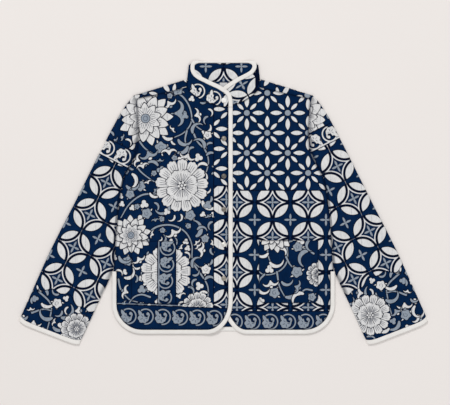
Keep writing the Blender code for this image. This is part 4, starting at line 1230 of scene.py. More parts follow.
def print_back(p):
    cloth = star_lattice(p, LEFT_STAR)
    cloth.over(linked_circles(p, LEFT_CIRCLES), p[:, 1] - LEFT_JOIN)
    band = Cloth(p)
    running_scroll(band, *BACK_SCROLL, SCROLL, 0.0)
    cloth.over(band, p[:, 1] - HEM_SCROLL["left"][3])
    return finished(cloth, p)


print("the back's scroll has", BACK_SCROLL[2], "leaves")

# %% [markdown]
# ## The fronts
#
# Each front is one quilted panel, bound along its front edge, hem and side vent. Its inner face
# lies on the back and rises a little in the middle, where air and the seams' bulk hold the layers
# apart. The outer face adds the wall, low ridges of wadding between upright rows of stitches, the
# dip where a seam presses the cloth, and a few soft creases listed in a table.

# %% Front outlines
SEAM_DIP, SEAM_ROLL = 1.2, 6.0  # a seam presses the cloth this far, over this width
FRONT_GRID, BACK_GRID, SLEEVE_GRID, COLLAR_GRID = 1.55, 2.5, 1.6, 1.3  # spacing of the points
COARSE = 4  # the hidden side of a wall takes one point in this many


def front_edge(side):
    """The bound edge of a front as it lies, its cloth on the left: front edge, hem and vent."""
    past, (a, b) = (RIGHT_EDGE, RIGHT_CORNER) if side == "right" else (LEFT_EDGE, LEFT_CORNER)
    line = joined(
        straight([(-past, NECK_END), (-past, HEM - b)], 12.0),
        arc((a - past, HEM - b), (a, b), 180, 90, 31),
        straight([(a - past, HEM), (SIDE - CORNER, HEM)], 12.0),
        arc((SIDE - CORNER, HEM - CORNER), (CORNER, CORNER), 90, 0, 25),
        straight([(SIDE, HEM - CORNER), (SIDE, VENT)], 12.0),
    )
    line = laid(line, side)
    return line if side == "left" else line[::-1]


def front_outline(side):
    """The cut of a front where it shows, as it lies, inside its binding."""
    bound = moved(front_edge(side), BIND + SEAM / 2)
    bound = bound[::-1] if side == "right" else bound
    neck = laid(smooth(NECK, 3.0), side)
    neck = neck[(neck[:, 0] - bound[0, 0]) * TURN[side] > 2.0]
    outline = joined(
        bound,
        laid([(SIDE_SEAM[-1][0], VENT - SEAM)], side),
        laid(smooth(SIDE_SEAM, 8.0), side)[::-1][1:],
        laid(smooth(ARMHOLE, 4.0), side)[::-1],
    )
    outline = outline[(outline - laid(FRONT_SEAM, side)[-1])[:, 1] < -2.0]
    outline = joined(outline, laid(straight(FRONT_SEAM, 12.0), side)[::-1], neck[1:])
    return shifted(anticlockwise(outline), SEAM / 2)


for side in TURN:
    print(side, "front's outline:", len(front_outline(side)), "points")

# %% Heights of a front
def lap(points, lift=LAP_LIFT):
    """How far the right front, or its half of the collar, is lifted over the left one."""
    return lift * ramp((points[:, 0] + LAP_START) / (LAP_START - LAP_END))


AIR_RUN = 90.0  # the layers part over this distance from a seam
AIR_FROM, AIR_FULL = 28.0, 98.0  # across: they lie close up to here, and are fully apart there


def front_under(points, side, away):
    """Height of a front's inner face: on the back at the seams, a little off it in the middle."""
    middle = ramp((np.abs(points[:, 0]) - AIR_FROM) / (AIR_FULL - AIR_FROM))
    height = SEAM + WALL + AIR * ramp(away / AIR_RUN) * middle
    return height + (lap(points) if side == "right" else 0.0)


def quilting(points, away):
    """Wadding between upright rows of stitches: 1 minus a power of the distance from mid-row."""
    share = np.abs((points[:, 0] / ROW - 0.5) % 1.0 - 0.5) * 2.0
    share = np.where(np.abs(points[:, 0]) < ROW / 2, 1.0, share)
    return QUILT * (1.0 - share**PLUMP) * ramp(away / EASE)


def creases(points, table):
    """Soft troughs with a low ridge beside each: a bell across the line, fading along it."""
    height = np.zeros(len(points))
    for across, down, degrees, long, wide, deep in table:
        u, v = turned(points, (across, down), degrees)
        fade = np.exp(-((2 * u / long) ** 4))
        height += fade * deep * (0.55 * np.exp(-((v / wide - 1.7) ** 2)) - np.exp(-((v / wide) ** 2)))
    return height


def seam_dip(away):
    """How far the cloth is pressed down towards a seam."""
    return SEAM_DIP * (1.0 - ramp(away / SEAM_ROLL + 0.25)) / (1.0 - ramp(0.25))


# across (picture left is minus), down, direction of the line, length, width, depth
FRONT_CREASES = {
    "right": ((-188, 268, 24, 95, 8, 0.9), (-170, 300, 52, 80, 9, 0.7), (-196, 226, 2, 60, 7, 0.6),
              (-222, 392, 74, 110, 9, 0.6), (-98, 396, 12, 120, 12, 0.5),
              (-60, 330, 80, 130, 10, 0.5), (-120, 128, 33, 90, 10, 0.5),
              (-206, 560, 78, 70, 8, 0.5)),
    "left": ((186, 270, -26, 90, 8, 0.9), (172, 306, -50, 85, 9, 0.7), (198, 222, -4, 55, 7, 0.6),
             (226, 404, -76, 120, 9, 0.6), (96, 388, -9, 130, 12, 0.5),
             (60, 350, -83, 120, 10, 0.5), (118, 132, -30, 85, 10, 0.5),
             (214, 560, -80, 70, 8, 0.5)),
}

print("a seam dips by", round(float(seam_dip(0.0)), 2), "mm, creases on the right front:",
      len(FRONT_CREASES["right"]))

# %% A panel's closed wall
def panel(name, outline, spacing, top, under, print_of, finish, shade=6.0):
    """A wall over an outline: a fine upper net, a coarse lower one, and a rim between them.

    Within shade millimetres of its edge the cloth is painted darker: a painted shade along the seam.
    """
    fine = dense(anticlockwise(outline), spacing * 1.1)
    upper = np.vstack([fine, grid_in(fine, spacing)])
    picks = list(range(0, len(fine) - COARSE // 2, COARSE))
    rim = fine[picks]
    lower = np.vstack([rim, grid_in(rim, spacing * 2 * COARSE)])
    start = len(upper)
    faces = np.vstack([
        net_of(fine, upper[len(fine):]),
        net_of(rim, lower[len(rim):])[:, ::-1] + start,
        stitched(list(range(len(fine))), [start + k for k in range(len(rim))], picks),
    ])
    points = np.vstack([np.column_stack([upper, top(upper)]), np.column_stack([lower, under(lower)])])
    fields = {key: np.concatenate([values, np.full(len(lower), NONE)])
              for key, values in print_of(upper).items()}
    # painted shade, darker towards the panel's edge
    painted_shade = 1.0 - ramp(distance_to(upper, outline) / shade)
    fields["painted_shade"] = np.concatenate([painted_shade, np.zeros(len(lower))])
    return mesh_of(name, points, faces, [finish], fields)


def as_drafted(points):
    """Laid X and Y as the print's own coordinates: X, and down from the collar's edge."""
    return np.column_stack([points[:, 0], HALF_LENGTH - points[:, 1]])


def make_front(side):
    outline = front_outline(side)

    def under(points):
        return front_under(points, side, distance_to(points, outline))

    def top(points):
        away = distance_to(points, outline)
        height = front_under(points, side, away) + WALL + quilting(points, away)
        folds = creases(as_drafted(points), FRONT_CREASES[side]) * ramp(away / EASE)
        return height + folds - seam_dip(away)

    return panel(f"cloth_front_{side}", outline, FRONT_GRID, top, under,
                 lambda p: print_front(as_drafted(p), side), PRINTED)


print("a front has a point every", FRONT_GRID, "mm on its face, and every",
      2 * COARSE * FRONT_GRID, "mm inside")

# %% [markdown]
# ## Patch pockets
#
# A patch pocket is a rectangle with rounded lower corners, turned in at its edges and sewn on by
# its sides and foot. It follows the front under it, a little above the crests of the quilting, so
# its heights are the front's own heights, moved up.

# %% The pockets
def pocket_outline(side):
    across, down = POCKET[side]
    wide, tall, r = POCKET_WIDE / 2, POCKET_TALL / 2, POCKET_CORNER
    outline = joined(
        straight([(across - wide, down - tall), (across + wide, down - tall),
                  (across + wide, down + tall - r)], 10.0),
        arc((across + wide - r, down + tall - r), (r, r), 0, 90, 9),
        arc((across - wide + r, down + tall - r), (r, r), 90, 180, 9),
        straight([(across - wide, down + tall - r), (across - wide, down - tall)], 10.0)[:-1],
    )
    return anticlockwise(laid(outline, side))


def make_pocket(side):
    outline, front = pocket_outline(side), front_outline(side)
    rise = WALL + QUILT + ON_TOP

    def under(points):
        return front_under(points, side, distance_to(points, front)) + rise

    def top(points):
        away = distance_to(points, outline)
        return under(points) + PATCH_WALL + quilting(points, away) - 0.6 * seam_dip(away)

    return panel(f"cloth_pocket_{side}", outline, FRONT_GRID, top, under,
                 lambda p: print_pocket(as_drafted(p), side), PRINTED, shade=3.5)


print("pocket's outline:", len(pocket_outline("right")), "points")

# %% [markdown]
# ## The back
#
# The back is cut in one, and at each shoulder it turns over the top to a seam a little way down the
# front. It is drafted flat, with that strip folded out, and every point beyond the shoulder's line
# is then carried round a half circle and laid on top: the distance past the line becomes an angle.

# %% The back's outline, folded out
ROLL = math.pi * (FOLD - WALL / 2)  # length of the cloth's middle round the shoulder's fold
SHOULDER_IN = 60.0  # across: what lies farther out than this can be on a shoulder


def shoulder_line(side):
    """Where the back leaves the table to turn over: a point, and the outward direction."""
    start, end = laid(SHOULDER, side)
    run = (end - start) / np.linalg.norm(end - start)
    out = np.array([-run[1], run[0]])
    out = out if out[1] > 0 else -out
    return start - out * FOLD, out


def unfolded(points, side):
    """Points of the strip in front of the shoulder, turned back into the flat back's plane."""
    start, out = shoulder_line(side)
    inward = -((points - start) @ out)
    return points + out * (2 * inward + ROLL)[:, None]


print("the shoulder's fold takes", round(ROLL, 1), "mm of cloth")


def back_edge():
    """The bound edge of the back as it lies, its cloth on the left."""
    out, r = SIDE - BACK_IN, CORNER
    half = joined(
        straight([(0, BACK_HEM), (out - r, BACK_HEM)], 15.0),
        arc((out - r, BACK_HEM - r), (r, r), 90, 0, 21),
        straight([(out, BACK_HEM - r), (out, VENT)], 15.0),
    )
    return joined(laid(half, "right")[::-1], laid(half, "left"))


def back_half_outline(side):
    """Half of the back's flat cut above the vents: neck, shoulder strip, armhole and side."""
    start, out = shoulder_line(side)
    strip_neck = laid(NECK_SHOULDER, side)
    armhole = laid(smooth(ARMHOLE, 5.0), side)
    near = armhole[-((armhole - start) @ out) > 1.0]
    neck_foot = strip_neck[0] - out * ((strip_neck[0] - start) @ out)
    tip_foot = armhole[0] - out * ((armhole[0] - start) @ out)
    turns = np.linspace(0.0, ROLL, 5)[:, None]
    return joined(
        laid(smooth(NECK_BACK, 8.0), side),
        neck_foot + out * turns,
        unfolded(strip_neck, side),
        unfolded(laid(straight(FRONT_SEAM, 12.0), side)[1:], side),
        (tip_foot + out * turns)[::-1],
        near,
        laid(smooth(SIDE_SEAM, 12.0), side)[1:-1],
        laid([(SIDE_SEAM[-1][0], VENT - SEAM)], side),
    )


def turned_over(points, up):
    """Flat points of the back in space; up is the height in the wall, WALL on the inner face."""
    height = np.broadcast_to(np.asarray(up, float), (len(points),)).copy()
    up, place = height.copy(), points.copy()
    for side in TURN:
        start, out = shoulder_line(side)
        beyond = (points - start) @ out
        on_side = (points[:, 0] * TURN[side] > SHOULDER_IN) & (beyond > 0.0)
        angle = np.clip(beyond / ROLL, 0.0, 1.0) * math.pi
        radius = FOLD - up
        shift = -beyond + radius * np.sin(angle) - np.clip(beyond - ROLL, 0.0, None)
        place[on_side] += (out * shift[:, None])[on_side]
        height[on_side] = (FOLD - radius * np.cos(angle))[on_side]
    return np.column_stack([place, height])


# %% The back's wall
NECK_LOOK = (75.0, 125.0)  # the inside shows through the neck this far across and down
STRIP_DIP = 6.0  # the turned strip dips to its seam over this width


def make_back():
    """Both faces are nets of the same flat cut. The inner one is fine where the neck shows it."""
    bound = moved(back_edge(), BIND + SEAM / 2)
    outline = joined(back_half_outline("right"), bound, back_half_outline("left")[::-1][:-1])
    outline = shifted(anticlockwise(outline), SEAM / 2)
    fine = dense(outline, BACK_GRID)
    outer = np.vstack([fine, grid_in(fine, BACK_GRID)])
    picks = list(range(0, len(fine) - COARSE // 2, COARSE))
    rim = fine[picks]
    coarse, close = grid_in(rim, BACK_GRID * COARSE), grid_in(rim, COLLAR_GRID * 1.3)
    drafted = as_drafted(close)
    close = close[(np.abs(drafted[:, 0]) < NECK_LOOK[0]) & (drafted[:, 1] < NECK_LOOK[1])
                  & (drafted[:, 1] > NECK_BACK[0][1] + 4.0)]
    drafted = as_drafted(coarse)
    coarse = coarse[(np.abs(drafted[:, 0]) > NECK_LOOK[0] + 4.0) | (drafted[:, 1] > NECK_LOOK[1] + 4.0)]
    inner = np.vstack([rim, coarse, close])
    start = len(outer)
    faces = np.vstack([
        net_of(fine, outer[len(fine):])[:, ::-1],
        net_of(rim, inner[len(rim):]) + start,
        stitched(list(range(len(fine))), [start + k for k in range(len(rim))], picks)[:, ::-1],
    ])
    on_strip = np.zeros(len(outer))
    for side in TURN:
        foot, out = shoulder_line(side)
        past = ramp(((outer - foot) @ out - ROLL) / STRIP_DIP)
        on_strip = np.maximum(on_strip, past * (outer[:, 0] * TURN[side] > SHOULDER_IN))
    dip = seam_dip(distance_to(outer, outline)) * on_strip
    points = np.vstack([turned_over(outer, dip), turned_over(inner, WALL)])
    outer_print = print_back(as_drafted(outer))
    inner_print = print_inside(as_drafted(inner))
    shown = np.concatenate([np.zeros(len(rim) + len(coarse), bool), np.ones(len(close), bool)])
    fields = {key: np.concatenate([outer_print[key], np.where(shown, inner_print[key], NONE)])
              for key in outer_print}
    print("back:", len(outer), "points outside,", len(inner), "inside")
    return mesh_of("cloth_back", points, turned_out(points, faces), [PRINTED], fields)


# %% [markdown]
# ## The sleeves
#
# A sleeve is a tube that lies pressed nearly flat. Its surface is a grid of two parameters: one
# runs from the armhole to the cuff, the other goes round: over the top, round the fold along the
# inner edge, back along the table, and round the outer fold. Rows of wadding run down the sleeve.

# %% The sleeve in plan
def at_shares(line, shares):
    """Points of a line at shares of its length."""
    length = along(line)
    wanted = np.asarray(shares) * length[-1]
    return np.stack([np.interp(wanted, length, line[:, k]) for k in (0, 1)], axis=1)


def outwards(line, way):
    """The unit vector square to an open line at each point, to its left times way."""
    out = moved(line, way) - line
    return out / np.linalg.norm(out, axis=1, keepdims=True)


def sleeve_plan(side, shares, columns):
    """The sleeve's flat face in plan, armhole to cuff and outer fold to inner, and its folds."""
    way, inset = TURN[side], FOLD - SEAM / 2  # sewn, so no gap shows at the seams
    outer = moved(at_shares(laid(smooth(SLEEVE_OUTER, 3.0), side), shares), -way * inset)
    inner = moved(at_shares(laid(smooth(SLEEVE_INNER, 3.0), side), shares), way * inset)
    seam = moved(laid(smooth(ARMHOLE, 3.0), side), -way * SEAM / 2)
    length = along(seam)
    kept = np.linspace(inset, length[-1] - inset, columns)
    armhole = np.stack([np.interp(kept, length, seam[:, k]) for k in (0, 1)], axis=1)
    outer[0], inner[0] = armhole[0], armhole[-1]
    share = np.linspace(0.0, 1.0, columns)[None, :, None]
    grid = (1 - share) * outer[:, None] + share * inner[:, None]
    hollow = armhole[None] - grid[:1]
    grid = grid + hollow * np.clip(1 - shares / 0.1, 0.0, 1.0)[:, None, None] ** 2
    out, back = outwards(outer, way), outwards(inner, -way)
    near = np.clip(shares / 0.015, 0.0, 1.0)[:, None]
    for turn, run in ((out, armhole[0] - armhole[1]), (back, armhole[-1] - armhole[-2])):
        turn[:] = (1 - near) * run / np.linalg.norm(run) + near * turn
        turn /= np.linalg.norm(turn, axis=1, keepdims=True)
    return grid, out, back


FOLD_STEPS = 8
for line in (SLEEVE_OUTER, SLEEVE_INNER):
    print("a side of the sleeve is", round(float(along(smooth(line, 3.0))[-1])), "mm long")


def sleeve_rings(plan, shares, up, lift, under_step=2):
    """Rings round a sleeve at a height in its wall, 0 outside, and each point's unrolled plan.

    The top is at twice the fold's radius plus lift; a fold is a half circle; the rest is flat.
    """
    grid, out, back = plan
    stations = len(shares)
    radius = FOLD - up
    top = np.dstack([grid, FOLD + radius + lift])
    turn = np.linspace(0.0, math.pi, FOLD_STEPS + 2)[1:-1]

    def fold(edge, way):
        reach = radius * np.sin(turn)[None, :, None] * way[:, None]
        height = np.tile(FOLD + radius * np.cos(turn), (stations, 1))
        unrolled = edge[:, None] + way[:, None] * (FOLD * turn)[None, :, None]
        return np.dstack([edge[:, None] + reach, height]), unrolled

    under = grid[:, ::-1][:, ::under_step]
    bottom = np.dstack([under, np.full(under.shape[:2], FOLD - radius)])
    run = np.linalg.norm(under - grid[:, :1], axis=-1)[..., None]
    bottom_plan = grid[:, :1] + out[:, None] * (math.pi * FOLD + run)
    inner, inner_plan = fold(grid[:, -1], back)
    outer, outer_plan = fold(grid[:, 0], out)
    rings = np.concatenate([top, inner, bottom, outer[:, ::-1]], axis=1)
    plans = np.concatenate([grid, inner_plan, bottom_plan, outer_plan[:, ::-1]], axis=1)
    return rings, plans


# %% [markdown]
# ### The sleeve's wall
#
# The rings become a closed wall when an inner set is joined to them at both ends. The sleeve's
# top is puffed and quilted, painted with shade at the armhole's gathers, and its cuff has worn
# corners.

# %% A tube's wall
def tube(name, outer, inner, fields, finish):
    """A wall between two sets of rings of equal columns, open at both ends."""
    columns = outer.shape[1]
    size = outer.shape[0] * columns
    last_outer, last_inner = size - columns, size + (inner.shape[0] - 1) * columns
    c = np.arange(columns)
    n = (c + 1) % columns

    def cap(a, b):
        return np.vstack([np.stack([a + n, a + c, b + c], 1), np.stack([a + n, b + c, b + n], 1)])

    faces = np.vstack([
        quads(outer.shape[0], columns, closed=True),
        quads(inner.shape[0], columns, closed=True)[:, ::-1] + size,
        cap(0, size),
        cap(last_outer, last_inner)[:, ::-1],
    ])
    points = np.vstack([outer.reshape(-1, 3), inner.reshape(-1, 3)])
    spare = np.full(inner.shape[0] * columns, NONE)
    fields = {key: np.concatenate([values, spare]) for key, values in fields.items()}
    return mesh_of(name, points, turned_out(points, faces), [finish], fields)


# %% The top of a sleeve
# share of the length, share across from the outer fold, direction, length, width, depth
SLEEVE_CREASES = ((0.045, 0.86, 35, 70, 7, 1.2), (0.10, 0.95, 62, 80, 8, 1.0),
                  (0.17, 0.90, 30, 60, 7, 0.8), (0.30, 0.93, -28, 60, 7, 0.9),
                  (0.41, 0.90, 24, 75, 8, 1.1), (0.50, 0.94, -20, 60, 7, 0.9),
                  (0.47, 0.20, 18, 60, 9, 0.6), (0.62, 0.88, 34, 70, 8, 0.8),
                  (0.74, 0.95, -24, 50, 6, 0.7), (0.84, 0.30, 12, 70, 9, 0.5),
                  (0.90, 0.85, 28, 55, 7, 0.7))


def sleeve_lift(grid, shares, side):
    """The top's puff, its rows of wadding and its creases."""
    s = np.linspace(0.0, 1.0, grid.shape[1])[None]
    t = shares[:, None]
    puff = SLEEVE_AIR * np.sin(math.pi * s) ** 0.8 * ramp(t / 0.2) * ramp((1 - t) / 0.15)
    row = np.abs((s * CHANNELS) % 1.0 - 0.5) * 2.0
    raised = QUILT * (1.0 - row**PLUMP) * ramp(t / 0.04) * ramp((1 - t) / 0.04)
    folds = np.zeros(grid.shape[:2])
    for along_it, across, degrees, long, wide, deep in SLEEVE_CREASES:
        k, c = round(along_it * (len(shares) - 1)), round(across * (grid.shape[1] - 1))
        middle = grid[k, c] * (TURN[side], 1.0)
        flat = grid.reshape(-1, 2) * (TURN[side], 1.0)
        folds += creases(flat, ((*middle, degrees - 35.0, long, wide, deep),)).reshape(folds.shape)
    folds *= ramp(t / 0.03) * ramp((1 - t) / 0.03) * ramp(s / 0.05) * ramp((1 - s) / 0.05)
    return puff + raised + folds - seam_dip(t * SLEEVE_LONG)


SLEEVE_COLUMNS = 121  # across the top of a sleeve
SLEEVE_MEETS, MEETS_FADE = 0.74, 0.05  # share of its length beside the body, and the shade's end
SLEEVE_EDGE = 18.0  # the shade there is one part in this many of the sleeve's width
GATHER = 13.0  # how far the armhole's shade reaches, on average


def sleeve_painted_shade(shares, columns):
    """Painted shade where the armhole gathers the sleeve, unevenly, and along the body's side.

    Each column has its own reach: a length plus two sines of its place across the sleeve.
    """
    column = np.arange(columns)
    across = np.clip(column / (SLEEVE_COLUMNS - 1), 0.0, 1.0)[None]
    down = shares[:, None] * SLEEVE_LONG
    reach = GATHER + 5.0 * np.sin(37.0 * across) + 3.0 * np.sin(61.0 * across + 1.0)
    body_side = (1.0 - ramp((1.0 - across) * SLEEVE_EDGE)) * (column < SLEEVE_COLUMNS + 2)
    body_side = body_side * (1.0 - ramp((shares[:, None] - SLEEVE_MEETS + MEETS_FADE) / MEETS_FADE))
    return np.maximum(1.0 - ramp(down / reach), body_side)


# %% A whole sleeve, with soft corners at its cuff
CORNER_BACK, CORNER_POWER, CORNER_FADE = 7.0, 8, 26.0  # a cuff's worn corners
CORNER_LIMIT = 1.1  # the sleeve is wider above its cuff, so u stops growing here


def softened(rings, side):
    """Rings with the cuff's corners drawn back up the sleeve, as worn cloth has them.

    A point moves by CORNER_BACK * u**CORNER_POWER / (1 + (w / CORNER_FADE)**2), where u runs from
    -1 to 1 across the cuff and w is the distance from the cuff's line.
    """
    start, low = laid(smooth(SLEEVE_OUTER, 3.0), side)[[0, -1]]
    across = laid(smooth(SLEEVE_INNER, 3.0), side)[-1] - low
    half = np.linalg.norm(across) / 2
    across = across / (2 * half)
    up = np.array([-across[1], across[0]])
    up = up * np.sign((start - low) @ up)
    away = rings[..., :2] - (low + across * half)
    u = np.clip(away @ across / half, -CORNER_LIMIT, CORNER_LIMIT)
    back = CORNER_BACK * u**CORNER_POWER / (1.0 + (away @ up / CORNER_FADE) ** 2)
    bent = np.array(rings, dtype=float)
    bent[..., :2] += back[..., None] * up
    return bent


def make_sleeve(side):
    shares = np.linspace(0.0, 1.0, round(SLEEVE_LONG / SLEEVE_GRID))
    shares = shares**1.08  # closer together towards the armhole
    plan = sleeve_plan(side, shares, SLEEVE_COLUMNS)
    outer, plans = sleeve_rings(plan, shares, 0.0, sleeve_lift(plan[0], shares, side))
    few = np.append(np.arange(0, len(shares) - 4, 8), len(shares) - 1)
    puff = sleeve_lift(plan[0], shares, side)[few] - QUILT
    slim = tuple(part[few] for part in plan)
    inner, _ = sleeve_rings(slim, shares[few], WALL, np.clip(puff, 0.0, None))
    fields = print_sleeve(as_drafted(plans.reshape(-1, 2)), side)
    # painted shade at the armhole's gathers and along the body's side
    fields["painted_shade"] = sleeve_painted_shade(shares, plans.shape[1]).ravel()
    outer, inner = softened(outer, side), softened(inner, side)
    print(side, "sleeve:", outer.shape[0], "rings of", outer.shape[1], "points")
    return tube(f"cloth_sleeve_{side}", outer, inner, fields, SLEEVE_CLOTH[side])


# %% [markdown]
# ## The collar
#
# The collar is one standing band. Behind the neck it lies flat with its inside up, at each side it
# turns round a fold, and its front halves lie over with their outside up, the right over the left.
# It is a ribbon: a grid from the right end to the left end, and from the neck seam to the top edge.

# %% The collar's ribbon
COLLAR_LEVELS = 33
COLLAR_ENDS = {"right": 11.7, "left": 5.7}  # how far each end lies past the centre line
FOLD_FOOT = (85.6, 54.0)  # the seam between the fold's foot and the neck's first point
STATION = 6.0  # the ribbon is drafted at this spacing, then refined


def collar_height(points, side, share):
    """Height of a front half's inner face: share runs from 0 at the fold to 1 at its end."""
    height = FOLD + FOLD - WALL
    if side == "right":
        return height + lap(points, COLLAR_LIFT) * ramp(share / 0.3)
    return height + COLLAR_AIR * ramp((share - 0.2) / 0.3) * ramp((0.95 - share) / 0.2)


def finer(rows, count):
    """Rows of a table at that many even places between its first and last row."""
    place = np.linspace(0.0, len(rows) - 1.0, count)
    low = np.minimum(place.astype(int), len(rows) - 2)
    share = (place - low).reshape((-1,) + (1,) * (rows.ndim - 1))
    return (1 - share) * rows[low] + share * rows[low + 1]


def collar_half(side):
    """Plan and height of a front half, from the fold to its end and from seam to top edge."""
    way, end = -TURN[side], COLLAR_ENDS[side]
    seam = smooth(NECK, STATION)
    seam = seam[seam[:, 0] > 2.0 - end]
    seam = laid(np.vstack([[COLLAR_FOLD[0]], [FOLD_FOOT], seam, [(-end, NECK[-1][1])]]), side)
    seam[2:] = moved(seam, way * SEAM / 2)[2:]
    edge = laid(smooth(COLLAR_EDGE[side], 7.0), side)
    top = moved(edge, -way * (BIND / 2 + 2 * SEAM))
    top = np.vstack([laid([COLLAR_FOLD[1]], side), spaced(top, len(seam) - 1)])
    count = round(float(along(top)[-1]) / COLLAR_GRID)
    v = np.linspace(0.0, 1.0, COLLAR_LEVELS)[None, :, None]
    plan = (1 - v) * finer(seam, count)[:, None] + v * finer(top, count)[:, None]
    share = np.repeat(np.linspace(0.0, 1.0, count), COLLAR_LEVELS)
    return plan, collar_height(plan.reshape(-1, 2), side, share).reshape(plan.shape[:2])


# %% The whole collar
def make_collar():
    v = np.linspace(0.0, 1.0, COLLAR_LEVELS)
    share = np.linspace(-1.0, 1.0, round(2 * COLLAR_FOLD[0][0] / COLLAR_GRID))[1:-1, None]
    low, high = np.array(COLLAR_FOLD, float)
    across = np.hstack([share * low[0], share * high[0]])
    seam_down = np.interp(np.abs(across[:, 0]), *np.array(NECK_BACK, float).T) - SEAM - 0.2
    top_down = np.full(len(share), COLLAR_BACK + BIND_BACK / 2 + SEAM)
    seam = np.column_stack([across[:, 0], HALF_LENGTH - seam_down])
    top = np.column_stack([across[:, 1], HALF_LENGTH - top_down])
    back = (1 - v[None, :, None]) * seam[:, None] + v[None, :, None] * top[:, None]
    puff = QUILT * 0.7 * np.sin(3 * math.pi * v) ** 2  # three rows of wadding along the band
    faces = {0.0: [np.dstack([back, np.zeros(back.shape[:2])])],
             WALL: [np.dstack([back, np.full(back.shape[:2], WALL) + puff])]}
    plans, turn = [back], np.linspace(math.pi, 0.0, 12)[1:-1]
    for side in TURN:
        plan, height = collar_half(side)
        fold = plan[0]
        folded = fold[None] + np.outer(TURN[side] * FOLD * (math.pi - turn), (1, 0))[:, None]
        for up, parts in faces.items():
            radius = FOLD - up
            round_it = np.array([np.column_stack([
                fold + (TURN[side] * radius * math.sin(angle), 0.0),
                np.full(COLLAR_LEVELS, FOLD + radius * math.cos(angle))]) for angle in turn])
            raised = puff if up == 0.0 else 0.0
            half = np.concatenate([round_it, np.dstack([plan, height + WALL - up + raised])])
            parts.insert(len(parts) if side == "left" else 0,
                         half if side == "left" else half[::-1])
        seen = np.concatenate([folded, plan])
        plans.insert(len(plans) if side == "left" else 0, seen if side == "left" else seen[::-1])
    outer, inner = (np.concatenate(faces[up]) for up in (0.0, WALL))
    print("collar:", len(outer), "stations of", COLLAR_LEVELS, "points")
    drafted = as_drafted(np.concatenate(plans).reshape(-1, 2))
    outside, within = print_collar(drafted), print_inside(drafted)
    fields = {key: np.concatenate([outside[key], within[key]]) for key in outside}
    return mesh_of("cloth_collar", *slab(outer, inner), [PRINTED], fields)


# %% [markdown]
# ## Bindings
#
# A binding is a strip of cotton cut on the bias and folded over a raw edge. It is a rounded section
# carried along the line of its fold. Its own fine ribs and the pull of each stitch show as small
# ripples, so its height and its inner edge waver a little along the way. A cuff's binding is the
# sleeve's own tube again, short and a little proud, so both bend alike.

# %% A binding along a line
BINDING_GRID = 1.3
RIB = 0.2  # how far the ribs of the binding stand up
# in from the fold as a share of the width and in millimetres, and up as a share of the thickness
BINDING_SECTION = np.array([
    (1.0, 0.0, 0.04), (1.0, 0.0, 0.82), (1.0, -0.6, 1.0), (0.72, 0.0, 1.06), (0.45, 0.0, 1.08),
    (0.2, 0.3, 1.04), (0.0, 0.95, 0.9), (0.0, 0.25, 0.7), (0.0, 0.0, 0.5), (0.0, 0.25, 0.27),
    (0.0, 0.95, 0.06), (0.35, 0.0, 0.0), (0.75, 0.0, 0.0)])


def rippled(length, seed):
    """A gentle, uneven wave along a length: three sines whose pitches share no common measure."""
    return (np.sin(length / 3.1 + seed) + 0.7 * np.sin(length / 5.3 + 2.1 * seed)
            + 0.5 * np.sin(length / 8.9 + 0.7 * seed)) / 2.2


def binding(name, line, base, wide, thick=WALL + PROUD, seed=0.0):
    """The binding's solid strip, its cloth on the left of the line of its fold."""
    count = round(float(along(line)[-1]) / BINDING_GRID)
    wide = np.broadcast_to(np.asarray(wide, float), (len(line),))
    base = np.broadcast_to(np.asarray(base, float), (len(line),))
    line = spaced(np.column_stack([line, base, wide]), count)
    line, base, wide = line[:, :2], line[:, 2], line[:, 3]
    length = along(line)
    print(name, "is", round(float(length[-1])), "mm long")
    ripple = rippled(length, seed)
    rib = np.where(np.arange(count) % 2 == 0, RIB, -RIB)
    grid = []
    for share, inward, up in BINDING_SECTION:
        proud = ramp(up - 0.2) * (0.14 * ripple + rib)
        place = moved(line, share * (wide + 0.3 * ripple * (up > 0.5)) + inward)
        grid.append(np.column_stack([place, base + up * thick + proud]))
    grid = np.stack(grid, axis=1)
    columns = len(BINDING_SECTION)
    end = (count - 1) * columns
    cap = np.array([(0, c, c + 1) for c in range(1, columns - 1)])
    faces = np.vstack([quads(count, columns, closed=True), cap[:, ::-1], cap + end])
    points = grid.reshape(-1, 3)
    return mesh_of(name, points, turned_out(points, faces), [BOUND])


def make_front_binding(side):
    line = front_edge(side)
    base = SEAM + WALL + (lap(line) if side == "right" else 0.0)
    return binding(f"edging_front_{side}", line, base, BIND, seed=TURN[side])


def make_back_binding():
    return binding("edging_back", back_edge(), 0.0, BIND, thick=WALL, seed=5.0)


COLLAR_TURNS = ((50, COLLAR_BACK), (62, COLLAR_BACK), (70, 4.4), (74.2, 10))
RISES, WIDENS = (44.0, 64.0), (56.0, 72.0)  # across: it climbs over the fold, and grows wider


def make_collar_binding():
    """Narrow along the back, where it is seen edge on, and full width over the front halves."""
    half_back = laid(straight([(0, COLLAR_BACK), COLLAR_TURNS[0]], 8.0), "left")
    turn = laid(smooth(COLLAR_TURNS, 2.0), "left")
    lines, heights, widths = [], [], []
    for side in TURN:
        edge = laid(smooth(COLLAR_EDGE[side], 3.0), side)
        flip = np.array([TURN[side], 1.0])
        line = joined(half_back * flip, turn[1:] * flip, edge[1:])
        span, count = np.abs(line[:, 0]), len(edge) - 1
        share = np.concatenate([np.zeros(len(line) - count), np.linspace(0, 1, count + 1)[1:]])
        rise = np.where(share > 0, 1.0, ramp((span - RISES[0]) / (RISES[1] - RISES[0])))
        lines.append(line if side == "left" else line[::-1])
        widths.append(BIND_BACK + (BIND - BIND_BACK) * np.where(
            share > 0, 1.0, ramp((span - WIDENS[0]) / (WIDENS[1] - WIDENS[0]))))
        heights.append(collar_height(line, side, share) * rise)
    line = joined(lines[0], lines[1][1:])
    wide = np.concatenate([widths[0][::-1], widths[1][1:]])
    base = np.concatenate([heights[0][::-1], heights[1][1:]])
    return binding("edging_collar", moved(line, -wide / 2), base, wide, seed=2.0)


